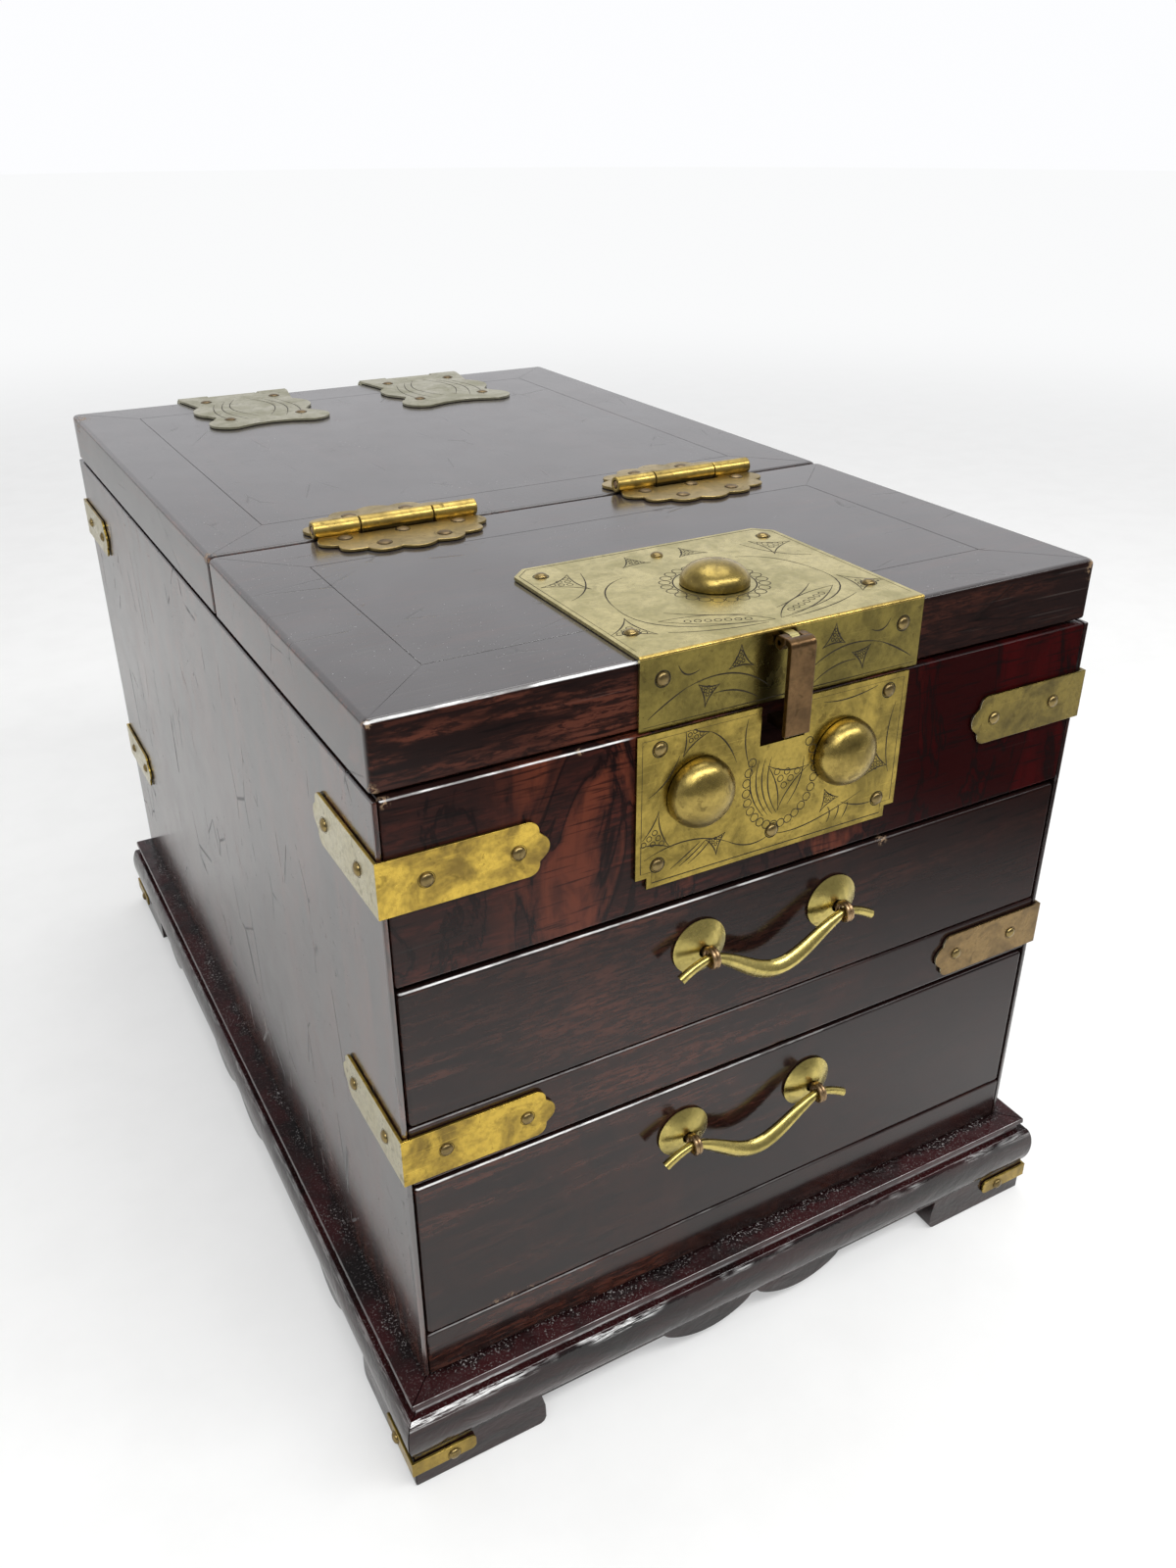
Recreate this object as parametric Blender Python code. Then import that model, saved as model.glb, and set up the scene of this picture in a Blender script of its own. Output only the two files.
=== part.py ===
"""Lacquered vanity box: two drawers, a shallow top tray, a folding lid in two parts and brass fittings.

Metres, +Z up, front towards -Y. Shapes are drawn in the case frame, whose origin is the floor point
under the middle of the case's front face. The finished box stands with its bounding box centred on the origin.
"""
import math

import bmesh
import bpy
from mathutils import Vector

# Case
CASE_WIDTH = 0.250
CASE_DEPTH = 0.394
SIDE_THICKNESS = 0.010
SIDE_LIP = 0.0016
BACK_THICKNESS = 0.008
BACK_REBATE = 0.005
RAIL_THICKNESS = 0.012
BOARD_THICKNESS = 0.006

# Heights of the front, from the floor up
FOOT_HEIGHT = 0.015
MOULDING_HEIGHT = 0.0217
BOTTOM_RAIL_HEIGHT = 0.0185
LOWER_OPENING_HEIGHT = 0.0645
MIDDLE_RAIL_HEIGHT = 0.022
UPPER_OPENING_HEIGHT = 0.0495
TOP_RAIL_HEIGHT = 0.0578

# Lid
LID_SEAM = 0.001
LID_THICKNESS = 0.0203
LID_SIDE_SETBACK = 0.0004
LID_FRONT_SETBACK = 0.0016
LID_REAR_SETBACK = 0.0015
FRONT_LID_DEPTH = 0.1439
LID_SPLIT = 0.0006
LID_BORDER = 0.026
LID_LEDGE = 0.005
LID_PANEL_THICKNESS = 0.010
MIRROR_THICKNESS = 0.003
MIRROR_LIP = 0.004

# Clearances
FIT = 0.0003
RUN = 0.0005
MITRE_GAP = 0.00022

# Base: overhangs beyond the case's faces
FILLET_REACH = 0.008
ROLL_REACH = 0.0115
FOOT_REACH = 0.0095
BASE_INSIDE = 0.010
FOOT_LENGTH = 0.048
FILLET_DEPTH = 0.0024
COVE_DEPTH = 0.0026
FRONT_LOBE_WIDTH = 0.038
FRONT_LOBE_DROP = 0.0075
SIDE_LOBE_WIDTH = 0.040
SIDE_LOBE_DROP = 0.0085
SMALL_LOBE_WIDTH = 0.030
SMALL_LOBE_INSET = 0.034
LOBE_CUSP = 0.0025

# Brass sheet and nails
SHEET = 0.001
NAIL_RADIUS = 0.0021
NAIL_HEIGHT = 0.0012

# Corner brackets
BRACKET_LENGTH = 0.0485
BRACKET_HEIGHT = 0.017
BRACKET_NAIL_NEAR = 0.0125
BRACKET_NAIL_FAR = 0.039
UPPER_BRACKET_DROP = 0.0252
REAR_UPPER_BRACKET_DROP = 0.0280
REAR_LOWER_BRACKET_Z = 0.099
FOOT_STRAP_LENGTH = 0.0215
FOOT_STRAP_LOW = 0.0072
FOOT_STRAP_HEIGHT = 0.006
FOOT_STRAP_NAIL = 0.0135

# Lock
PLATE_WIDTH = 0.0958
PLATE_SHIFT = -0.0015
LOWER_PLATE_HEIGHT = 0.0495
PLATE_NOTCH = 0.0038
SLOT_WIDTH = 0.016
SLOT_DEPTH = 0.0125
SLOT_MORTISE = 0.007
PLATE_NAIL_INSET = 0.0073
PLATE_TOP_NAIL_INSET = 0.005
DOME_RADIUS = 0.0108
DOME_HEIGHT = 0.008
DOME_SPACING = 0.0519
DOME_SHIFT = -0.0027
LOWER_DOME_DROP = 0.0214
LID_PLATE_WIDTH = 0.0986
LID_PLATE_SHIFT = 0.0012
LID_PLATE_DEPTH = 0.0789
LID_PLATE_CHAMFER = 0.0055
LID_PLATE_REAR_NAIL = 0.0093
LID_PLATE_FRONT_NAIL = 0.0154
LID_DOME_RADIUS = 0.0108
LID_DOME_HEIGHT = 0.007
LID_DOME_SHIFT = 0.0025
LID_DOME_SETBACK = 0.0384
APRON_NAIL_DROP = 0.0062
APRON_HANG = 0.0006

# Hasp
HASP_WIDTH = 0.0087
HASP_THICKNESS = 0.002
HASP_STANDOFF = 0.0083
HASP_LENGTH = 0.0295
HASP_EYE_RADIUS = 0.0022
HASP_PIN_RADIUS = 0.001
HASP_LUG_WIDTH = 0.003
TONGUE_WIDTH = 0.005
TONGUE_HEIGHT = 0.0028
TONGUE_LENGTH = 0.0115

# Hinges
BARREL_RADIUS = 0.003
PIN_RADIUS = 0.0013
PIN_CLEARANCE = 0.0003
MID_HINGE_INSET = 0.066
MID_HINGE_LENGTH = 0.060
MID_CENTRE_KNUCKLE = 0.0265
MID_LEAF_DEPTH = 0.025
REAR_HINGE_INSET = 0.078
REAR_HINGE_LENGTH = 0.054
REAR_CENTRE_KNUCKLE = 0.0234
REAR_LEAF_WIDTH = 0.056
REAR_LEAF_DEPTH = 0.071
BACK_LEAF_DROP = 0.036
LEAF_RELIEF = 0.0009
REAR_AXIS_DROP = 0.0022

# Drawers
DRAWER_FRONT_THICKNESS = 0.0115
DRAWER_TOP_GAP = 0.0016
DRAWER_BACK_GAP = 0.0125
DRAWER_WALL = 0.007
DRAWER_BOTTOM = 0.004
DRAWER_GROOVE = 0.003
DRAWER_GROOVE_RISE = 0.003
DRAWER_HEADROOM = 0.009

# Drawer pulls
EYE_SPACING = 0.051
EYE_STANDOFF = 0.0075
EYE_RADIUS = 0.0029
EYE_WIRE = 0.001
ROSETTE_RADIUS = 0.0096
ROSETTE_RISE = 0.0038
ROSETTE_SHEET = 0.0009
BAIL_SAG = 0.0125
BAIL_MIDDLE_RADIUS = 0.0032
BAIL_EYE_RADIUS = 0.0013
BAIL_TAIL = 0.011
BAIL_TAIL_DROP = 0.0045
UPPER_PULL_DROP = 0.0189
LOWER_PULL_DROP = 0.0213
LOWER_PULL_SHIFT = -0.0031

# Facets
NAIL_STEPS = 8
DOME_STEPS = 20
BARREL_STEPS = 12
BAIL_STEPS = 24
BAIL_SIDES = 10
EYE_STEPS = 12
EYE_SIDES = 6

# Levels and planes worked out from the sizes above
BASE_TOP = FOOT_HEIGHT + MOULDING_HEIGHT
LOWER_OPENING_Z = BASE_TOP + BOTTOM_RAIL_HEIGHT
MIDDLE_RAIL_Z = LOWER_OPENING_Z + LOWER_OPENING_HEIGHT
UPPER_OPENING_Z = MIDDLE_RAIL_Z + MIDDLE_RAIL_HEIGHT
TOP_RAIL_Z = UPPER_OPENING_Z + UPPER_OPENING_HEIGHT
CASE_TOP = TOP_RAIL_Z + TOP_RAIL_HEIGHT
LID_BOTTOM = CASE_TOP + LID_SEAM
LID_TOP = LID_BOTTOM + LID_THICKNESS
LID_HALF = CASE_WIDTH / 2 - LID_SIDE_SETBACK
LID_FRONT = LID_FRONT_SETBACK
LID_REAR = CASE_DEPTH - LID_REAR_SETBACK
SPLIT_Y = LID_FRONT + FRONT_LID_DEPTH
SIDE_X = CASE_WIDTH / 2
INSIDE_X = SIDE_X - SIDE_THICKNESS
INSIDE_BACK = CASE_DEPTH - BACK_THICKNESS
FACE_X = SIDE_X - SIDE_LIP

# Joint axes in the case frame, all along X except the drawers' slides
MID_AXIS = Vector((0, SPLIT_Y, LID_TOP + FIT + BARREL_RADIUS))
REAR_AXIS = Vector((0, LID_REAR + FIT + BARREL_RADIUS, LID_TOP - REAR_AXIS_DROP))
APRON_FACE = LID_FRONT - FIT - SHEET
HASP_AXIS = Vector((0, APRON_FACE - FIT - HASP_EYE_RADIUS, LID_TOP - HASP_EYE_RADIUS))
UPPER_PULL = Vector((0, -EYE_STANDOFF, TOP_RAIL_Z - UPPER_PULL_DROP))
LOWER_PULL = Vector((LOWER_PULL_SHIFT, -EYE_STANDOFF, MIDDLE_RAIL_Z - LOWER_PULL_DROP))

# The foot straps' nails reach furthest forward and the rear hinges' barrels furthest back
FRONT_REACH = FOOT_REACH + FIT + SHEET + NAIL_HEIGHT
REAR_REACH = REAR_AXIS.y + BARREL_RADIUS
FRONT_Y = (FRONT_REACH - REAR_REACH) / 2

BODIES = {
    "case": (None, Vector((0, 0, 0))),
    "rear_lid": ("case", REAR_AXIS),
    "front_lid": ("rear_lid", MID_AXIS),
    "hasp": ("front_lid", HASP_AXIS),
    "upper_drawer": ("case", Vector((0, 0, UPPER_OPENING_Z))),
    "lower_drawer": ("case", Vector((0, 0, LOWER_OPENING_Z))),
    "upper_pull": ("upper_drawer", UPPER_PULL),
    "lower_pull": ("lower_drawer", LOWER_PULL),
}

MATERIALS = {
    "lacquered_wood": ((0.050, 0.028, 0.022), 0.28, 0.0),
    "red_wood": ((0.085, 0.030, 0.020), 0.28, 0.0),
    "drawer_wood": ((0.300, 0.190, 0.110), 0.60, 0.0),
    "aged_brass": ((0.420, 0.330, 0.110), 0.38, 1.0),
    "dull_brass": ((0.400, 0.380, 0.260), 0.50, 1.0),
    "bright_brass": ((0.620, 0.460, 0.120), 0.25, 1.0),
    "copper_brass": ((0.300, 0.190, 0.110), 0.42, 1.0),
    "mirror_glass": ((0.800, 0.820, 0.820), 0.03, 1.0),
}


def clear_scene():
    for item in list(bpy.data.objects):
        bpy.data.objects.remove(item, do_unlink=True)


def make_material(name):
    color, roughness, metallic = MATERIALS[name]
    material = bpy.data.materials.new(name)
    material.use_nodes = True
    shader = material.node_tree.nodes["Principled BSDF"]
    shader.inputs["Base Color"].default_value = (*color, 1.0)
    shader.inputs["Roughness"].default_value = roughness
    shader.inputs["Metallic"].default_value = metallic
    return material


def make_bodies():
    """One empty for each rigid body, standing on the body's joint axis."""
    empties = {}
    for name, (parent, pivot) in BODIES.items():
        empty = bpy.data.objects.new(name + "_axis", None)
        bpy.context.collection.objects.link(empty)
        if parent is None:
            empty.location = (0, FRONT_Y, 0)
        else:
            empty.parent = empties[parent]
            empty.location = pivot - BODIES[parent][1]
        empties[name] = empty
    return empties


class Assembly:
    """Adds finished shapes to the scene as named pieces of a body."""

    def __init__(self):
        self.materials = {name: make_material(name) for name in MATERIALS}
        self.empties = make_bodies()

    def add(self, name, body, material, shape, smooth=False):
        bmesh.ops.translate(shape, verts=shape.verts, vec=-BODIES[body][1])
        mesh = bpy.data.meshes.new(name)
        shape.to_mesh(mesh)
        shape.free()
        mesh.materials.append(self.materials[material])
        if smooth:
            mesh.shade_smooth()
            mesh.set_sharp_from_angle(angle=math.radians(35))
        piece = bpy.data.objects.new(name, mesh)
        bpy.context.collection.objects.link(piece)
        piece.parent = self.empties[body]


# Shapes

def closed(shape):
    bmesh.ops.recalc_face_normals(shape, faces=shape.faces)
    return shape


def prism(outline, axis, low, high):
    """Extrude a closed outline along one axis; its points lie in the other two axes, in X, Y, Z order."""
    shape = bmesh.new()
    place = {
        "X": lambda a, b, c: (c, a, b),
        "Y": lambda a, b, c: (a, c, b),
        "Z": lambda a, b, c: (a, b, c),
    }[axis]
    near = [shape.verts.new(place(a, b, low)) for a, b in outline]
    far = [shape.verts.new(place(a, b, high)) for a, b in outline]
    shape.faces.new(near)
    shape.faces.new(far)
    for i in range(len(outline)):
        j = (i + 1) % len(outline)
        shape.faces.new((near[i], near[j], far[j], far[i]))
    return closed(shape)


def box(x, y, z):
    """A block between pairs of x, y and z values."""
    outline = [(x[0], y[0]), (x[1], y[0]), (x[1], y[1]), (x[0], y[1])]
    return prism(outline, "Z", z[0], z[1])


def stepped_frame(loops):
    """A rectangular ring whose section steps through loops of (half width, front, rear, height)."""
    shape = bmesh.new()
    rings = []
    for half, front, rear, z in loops:
        corners = [(-half, front), (half, front), (half, rear), (-half, rear)]
        rings.append([shape.verts.new((x, y, z)) for x, y in corners])
    for i, ring in enumerate(rings):
        following = rings[(i + 1) % len(rings)]
        for j in range(4):
            k = (j + 1) % 4
            shape.faces.new((ring[j], ring[k], following[k], following[j]))
    return closed(shape)


def turned(profile, steps, centre, direction):
    """Spin (radius, height) points about an axis from a centre; the first and last points may lie on the axis."""
    shape = bmesh.new()
    turn = Vector((0, 0, 1)).rotation_difference(Vector(direction)).to_matrix()
    base = Vector(centre)
    rings = []
    for radius, height in profile:
        count = steps if radius > 0 else 1
        ring = []
        for i in range(count):
            angle = math.tau * i / steps
            point = Vector((radius * math.cos(angle), radius * math.sin(angle), height))
            ring.append(shape.verts.new(base + turn @ point))
        rings.append(ring)
    for upper, lower in zip(rings, rings[1:]):
        for i in range(steps):
            j = (i + 1) % steps
            corners = [upper[i % len(upper)], upper[j % len(upper)], lower[j % len(lower)], lower[i % len(lower)]]
            shape.faces.new(list(dict.fromkeys(corners)))
    for ring in (rings[0], rings[-1]):
        if len(ring) > 1:
            shape.faces.new(ring)
    return closed(shape)


def hollow_turned(profile, steps, centre, direction):
    """Spin a closed section that stays off the axis, which makes a ring or a tube."""
    shape = bmesh.new()
    turn = Vector((0, 0, 1)).rotation_difference(Vector(direction)).to_matrix()
    base = Vector(centre)
    rings = []
    for radius, height in profile:
        ring = []
        for i in range(steps):
            angle = math.tau * i / steps
            point = Vector((radius * math.cos(angle), radius * math.sin(angle), height))
            ring.append(shape.verts.new(base + turn @ point))
        rings.append(ring)
    for i, ring in enumerate(rings):
        following = rings[(i + 1) % len(rings)]
        for j in range(steps):
            k = (j + 1) % steps
            shape.faces.new((ring[j], ring[k], following[k], following[j]))
    return closed(shape)


def swept(points, radii, sides):
    """A round bar along points that share one Y, with a radius at each point."""
    shape = bmesh.new()
    rings = []
    for i, point in enumerate(points):
        ahead = points[min(i + 1, len(points) - 1)] - points[max(i - 1, 0)]
        across = Vector((-ahead.z, 0, ahead.x)).normalized()
        ring = []
        for k in range(sides):
            angle = math.tau * k / sides
            offset = across * math.cos(angle) + Vector((0, 1, 0)) * math.sin(angle)
            ring.append(shape.verts.new(point + offset * radii[i]))
        rings.append(ring)
    for ring, following in zip(rings, rings[1:]):
        for j in range(sides):
            k = (j + 1) % sides
            shape.faces.new((ring[j], ring[k], following[k], following[j]))
    shape.faces.new(rings[0])
    shape.faces.new(rings[-1])
    return closed(shape)


def merged(shapes):
    """Gather separate shapes into one mesh."""
    together = bmesh.new()
    for shape in shapes:
        mesh = bpy.data.meshes.new("shape")
        shape.to_mesh(mesh)
        shape.free()
        together.from_mesh(mesh)
        bpy.data.meshes.remove(mesh)
    return together


def loose_object(shape):
    mesh = bpy.data.meshes.new("shape")
    shape.to_mesh(mesh)
    shape.free()
    holder = bpy.data.objects.new("shape", mesh)
    bpy.context.collection.objects.link(holder)
    return holder


def boolean(shape, tool, operation):
    """Join a shape with a tool or cut it by one, and return the result."""
    target = loose_object(shape)
    helper = loose_object(tool)
    modifier = target.modifiers.new("boolean", "BOOLEAN")
    modifier.operation = operation
    modifier.solver = "EXACT"
    modifier.object = helper
    evaluated = target.evaluated_get(bpy.context.evaluated_depsgraph_get())
    result = bmesh.new()
    result.from_mesh(evaluated.to_mesh())
    evaluated.to_mesh_clear()
    for holder in (target, helper):
        mesh = holder.data
        bpy.data.objects.remove(holder, do_unlink=True)
        bpy.data.meshes.remove(mesh)
    return result


def joined(shape, additions):
    return boolean(shape, merged(additions), "UNION")


def cut(shape, cutters):
    return boolean(shape, merged(cutters), "DIFFERENCE")


def mirrored(shape):
    """The same shape on the other side of the middle plane."""
    for vert in shape.verts:
        vert.co.x = -vert.co.x
    bmesh.ops.reverse_faces(shape, faces=shape.faces)
    return shape


def arc(centre, radius, start, end, steps):
    """Points on a circle from one angle to another, in degrees."""
    points = []
    for i in range(steps + 1):
        angle = math.radians(start + (end - start) * i / steps)
        points.append((centre[0] + radius * math.cos(angle), centre[1] + radius * math.sin(angle)))
    return points


def both_sides(half_outline):
    """Complete an outline that is drawn from the middle line, out along +a and back to the middle line."""
    return half_outline + [(-a, b) for a, b in reversed(half_outline) if a > 0]


def nail(point, direction):
    """A domed nail head that sinks a little into the sheet it holds."""
    profile = [
        (0, NAIL_HEIGHT),
        (NAIL_RADIUS * 0.55, NAIL_HEIGHT * 0.84),
        (NAIL_RADIUS * 0.88, NAIL_HEIGHT * 0.42),
        (NAIL_RADIUS, -SHEET / 3),
        (0, -SHEET / 3),
    ]
    return turned(profile, NAIL_STEPS, point, direction)


def dome(radius, height, point, direction):
    """A hollow-looking boss: a low round cap with a flat seat."""
    rise = 6
    profile = []
    for i in range(rise + 1):
        angle = math.pi / 2 * (1 - i / rise)
        profile.append((radius * math.cos(angle) if i else 0, height * math.sin(angle)))
    profile.append((0, 0))
    return turned(profile, DOME_STEPS, point, direction)


# Case

def side_panel():
    outline = [
        (-SIDE_X, 0),
        (-FACE_X, 0),
        (-FACE_X, RAIL_THICKNESS + FIT),
        (-INSIDE_X, RAIL_THICKNESS + FIT),
        (-INSIDE_X, INSIDE_BACK - FIT),
        (-SIDE_X + BACK_REBATE, INSIDE_BACK - FIT),
        (-SIDE_X + BACK_REBATE, CASE_DEPTH),
        (-SIDE_X, CASE_DEPTH),
    ]
    return prism(outline, "Z", BASE_TOP + FIT, CASE_TOP)


def front_rail(low, high):
    half = FACE_X - FIT
    return box((-half, half), (0, RAIL_THICKNESS), (low, high))


def inner_board(low, high):
    half = INSIDE_X - FIT
    return box((-half, half), (RAIL_THICKNESS + FIT, INSIDE_BACK - FIT), (low, high))


def top_rail():
    """The rail behind the lock plate, with a mortise open at the top for the hasp's tongue."""
    half = SLOT_WIDTH / 2
    mortise = box((-half, half), (-FIT, SLOT_MORTISE), (CASE_TOP - SLOT_DEPTH, CASE_TOP + FIT))
    return cut(front_rail(TOP_RAIL_Z, CASE_TOP), [mortise])


def add_case(assembly):
    assembly.add("left_side_panel", "case", "lacquered_wood", side_panel())
    assembly.add("right_side_panel", "case", "lacquered_wood", mirrored(side_panel()))
    back_half = SIDE_X - BACK_REBATE - FIT
    back = box((-back_half, back_half), (INSIDE_BACK, CASE_DEPTH), (BASE_TOP + FIT, CASE_TOP))
    assembly.add("back_panel", "case", "lacquered_wood", back)
    assembly.add("top_rail", "case", "red_wood", top_rail())
    assembly.add("middle_rail", "case", "lacquered_wood", front_rail(MIDDLE_RAIL_Z, UPPER_OPENING_Z))
    assembly.add("bottom_rail", "case", "lacquered_wood", front_rail(BASE_TOP + FIT, LOWER_OPENING_Z))
    assembly.add("tray_floor", "case", "lacquered_wood", inner_board(TOP_RAIL_Z, TOP_RAIL_Z + BOARD_THICKNESS))
    dust_board = inner_board(UPPER_OPENING_Z - BOARD_THICKNESS, UPPER_OPENING_Z)
    assembly.add("dust_board", "case", "drawer_wood", dust_board)
    bottom_board = inner_board(LOWER_OPENING_Z - BOARD_THICKNESS, LOWER_OPENING_Z)
    assembly.add("bottom_board", "case", "drawer_wood", bottom_board)


# Base

def base_profile():
    """Section of a moulded base board as (overhang, height): fillet, cove, roll and foot."""
    fillet_foot = BASE_TOP - FILLET_DEPTH
    roll_top = fillet_foot - COVE_DEPTH
    cove = FILLET_REACH - COVE_DEPTH * 0.7
    roll = roll_top - FOOT_HEIGHT
    bulge = ROLL_REACH - FOOT_REACH
    return [
        (-BASE_INSIDE, BASE_TOP),
        (FILLET_REACH, BASE_TOP),
        (FILLET_REACH, fillet_foot),
        (cove, fillet_foot - COVE_DEPTH * 0.45),
        (cove, roll_top),
        (FOOT_REACH, roll_top),
        (FOOT_REACH + bulge * 0.72, roll_top - roll * 0.14),
        (ROLL_REACH, roll_top - roll * 0.42),
        (FOOT_REACH + bulge * 0.85, roll_top - roll * 0.74),
        (FOOT_REACH, FOOT_HEIGHT),
        (FOOT_REACH, 0),
        (-BASE_INSIDE, 0),
    ]


def moulded_board(place):
    """Join the two ends of a base board; place(overhang, height) gives the points at both ends."""
    shape = bmesh.new()
    ends = [place(overhang, height) for overhang, height in base_profile()]
    near = [shape.verts.new(a) for a, b in ends]
    far = [shape.verts.new(b) for a, b in ends]
    shape.faces.new(near)
    shape.faces.new(far)
    for i in range(len(ends)):
        j = (i + 1) % len(ends)
        shape.faces.new((near[i], near[j], far[j], far[i]))
    return closed(shape)


def lobe(middle, width, drop, steps):
    """A rounded drop hanging from the apron's edge."""
    points = []
    for i in range(steps + 1):
        share = i / steps
        points.append((middle + width * (share - 0.5), APRON_Z - drop * math.sin(math.pi * share) ** 0.7))
    return points


APRON_Z = FOOT_HEIGHT - 2 * FIT


def arch(start, end, lobes):
    """Outline of the space under an apron, between two feet; lobes are (middle, width, drop)."""
    foot_round = FOOT_HEIGHT * 0.2
    below = -FOOT_HEIGHT
    points = [(start - foot_round, below), (start - foot_round, 0), (start, foot_round)]
    points.append((start - foot_round / 2, APRON_Z))
    for middle, width, drop in lobes:
        points.extend(lobe(middle, width, drop, 8))
    points.append((end + foot_round / 2, APRON_Z))
    points.extend([(end, foot_round), (end + foot_round, 0), (end + foot_round, below)])
    return points


def base_front():
    def place(overhang, height):
        x = SIDE_X + overhang - MITRE_GAP
        return (-x, -overhang, height), (x, -overhang, height)

    offset = (FRONT_LOBE_WIDTH + LOBE_CUSP) / 2
    lobes = [(side * offset, FRONT_LOBE_WIDTH, FRONT_LOBE_DROP) for side in (-1, 1)]
    reach = SIDE_X + FOOT_REACH - FOOT_LENGTH
    outline = arch(-reach, reach, lobes)
    return cut(moulded_board(place), [prism(outline, "Y", -2 * ROLL_REACH, 2 * BASE_INSIDE)])


def base_side():
    def place(overhang, height):
        return (-SIDE_X - overhang, MITRE_GAP - overhang, height), (-SIDE_X - overhang, CASE_DEPTH, height)

    middle = CASE_DEPTH / 2
    offset = (SIDE_LOBE_WIDTH + LOBE_CUSP) / 2
    start = FOOT_LENGTH - FOOT_REACH
    end = CASE_DEPTH - FOOT_LENGTH
    lobes = [
        (start + SMALL_LOBE_INSET, SMALL_LOBE_WIDTH, SIDE_LOBE_DROP),
        (middle - offset, SIDE_LOBE_WIDTH, SIDE_LOBE_DROP),
        (middle + offset, SIDE_LOBE_WIDTH, SIDE_LOBE_DROP),
        (end - SMALL_LOBE_INSET, SMALL_LOBE_WIDTH, SIDE_LOBE_DROP),
    ]
    outline = arch(start, end, lobes)
    low = -SIDE_X - 2 * ROLL_REACH
    high = -SIDE_X + 2 * BASE_INSIDE
    return cut(moulded_board(place), [prism(outline, "X", low, high)])


def base_back():
    half = SIDE_X - BASE_INSIDE - FIT
    board = box((-half, half), (CASE_DEPTH - BASE_INSIDE, CASE_DEPTH), (0, BASE_TOP))
    reach = SIDE_X + FOOT_REACH - FOOT_LENGTH
    gap = prism(arch(-reach, reach, []), "Y", CASE_DEPTH - 2 * BASE_INSIDE, CASE_DEPTH + BASE_INSIDE)
    return cut(board, [gap])


def add_base(assembly):
    assembly.add("base_front", "case", "lacquered_wood", base_front())
    assembly.add("base_left", "case", "lacquered_wood", base_side())
    assembly.add("base_right", "case", "lacquered_wood", mirrored(base_side()))
    assembly.add("base_back", "case", "lacquered_wood", base_back())


# Corner brackets

def lobed_leaf():
    """Half of a bracket from its fold, as (along, up), ending in three lobes."""
    half = BRACKET_HEIGHT / 2
    small = BRACKET_HEIGHT * 0.2
    middle = BRACKET_HEIGHT * 0.24
    shoulder = BRACKET_LENGTH - middle * 0.75
    points = [(0, half)]
    points.extend(arc((shoulder - small, half - small), small, 90, -10, 4))
    points.extend(arc((BRACKET_LENGTH - middle, 0), middle, 55, -55, 5))
    points.extend(arc((shoulder - small, small - half), small, 10, -90, 4))
    points.append((0, -half))
    return points


def strap_leaf():
    """Half of a foot strap from its fold, with a rounded end."""
    half = FOOT_STRAP_HEIGHT / 2
    small = FOOT_STRAP_HEIGHT * 0.3
    points = [(0, half)]
    points.extend(arc((FOOT_STRAP_LENGTH - small, half - small), small, 90, 0, 3))
    points.extend(arc((FOOT_STRAP_LENGTH - small, small - half), small, 0, -90, 3))
    points.append((0, -half))
    return points


def corner_plate(leaf, corner, inward, level, nails):
    """Fold a leaf round an upright corner; inward gives the signs of X and Y towards the wood."""
    shape = bmesh.new()
    skins = []
    for offset in (FIT, FIT + SHEET):
        face_x = corner[0] - inward[0] * offset
        face_y = corner[1] - inward[1] * offset
        fold = [shape.verts.new((face_x, face_y, level + up)) for along, up in (leaf[0], leaf[-1])]
        skin = []
        for axis in (0, 1):
            verts = [fold[0]]
            for along, up in leaf[1:-1]:
                x = corner[0] + inward[0] * along if axis == 0 else face_x
                y = corner[1] + inward[1] * along if axis == 1 else face_y
                verts.append(shape.verts.new((x, y, level + up)))
            verts.append(fold[1])
            skin.append(verts)
            shape.faces.new(verts)
        skins.append(skin)
    for inner, outer in zip(*skins):
        for i in range(len(inner) - 1):
            shape.faces.new((inner[i], inner[i + 1], outer[i + 1], outer[i]))
    heads = []
    stand = FIT + SHEET
    for along, up in nails:
        on_front = (corner[0] + inward[0] * along, corner[1] - inward[1] * stand, level + up)
        on_side = (corner[0] - inward[0] * stand, corner[1] + inward[1] * along, level + up)
        heads.append(nail(on_front, (0, -inward[1], 0)))
        heads.append(nail(on_side, (-inward[0], 0, 0)))
    return joined(closed(shape), heads)


def add_brackets(assembly):
    nails = [(BRACKET_NAIL_NEAR, 0), (BRACKET_NAIL_FAR, 0)]
    front_levels = {"upper": CASE_TOP - UPPER_BRACKET_DROP, "middle": MIDDLE_RAIL_Z + MIDDLE_RAIL_HEIGHT / 2}
    rear_levels = {"upper": CASE_TOP - REAR_UPPER_BRACKET_DROP, "lower": REAR_LOWER_BRACKET_Z}
    strap_nails = [(FOOT_STRAP_NAIL, -FOOT_STRAP_HEIGHT * 0.15)]
    strap_level = FOOT_STRAP_LOW + FOOT_STRAP_HEIGHT / 2
    rows = (("front", 0, 1, front_levels), ("rear", CASE_DEPTH, -1, rear_levels))
    for row, y, inward_y, levels in rows:
        for side, sign in (("left", -1), ("right", 1)):
            inward = (-sign, inward_y)
            for level_name, level in levels.items():
                plate = corner_plate(lobed_leaf(), (sign * SIDE_X, y), inward, level, nails)
                name = f"{row}_{side}_{level_name}_bracket"
                assembly.add(name, "case", "aged_brass", plate)
            foot_y = -FOOT_REACH if row == "front" else CASE_DEPTH
            foot = (sign * (SIDE_X + FOOT_REACH), foot_y)
            strap = corner_plate(strap_leaf(), foot, inward, strap_level, strap_nails)
            assembly.add(f"{row}_{side}_foot_strap", "case", "aged_brass", strap)


# Lid

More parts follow.
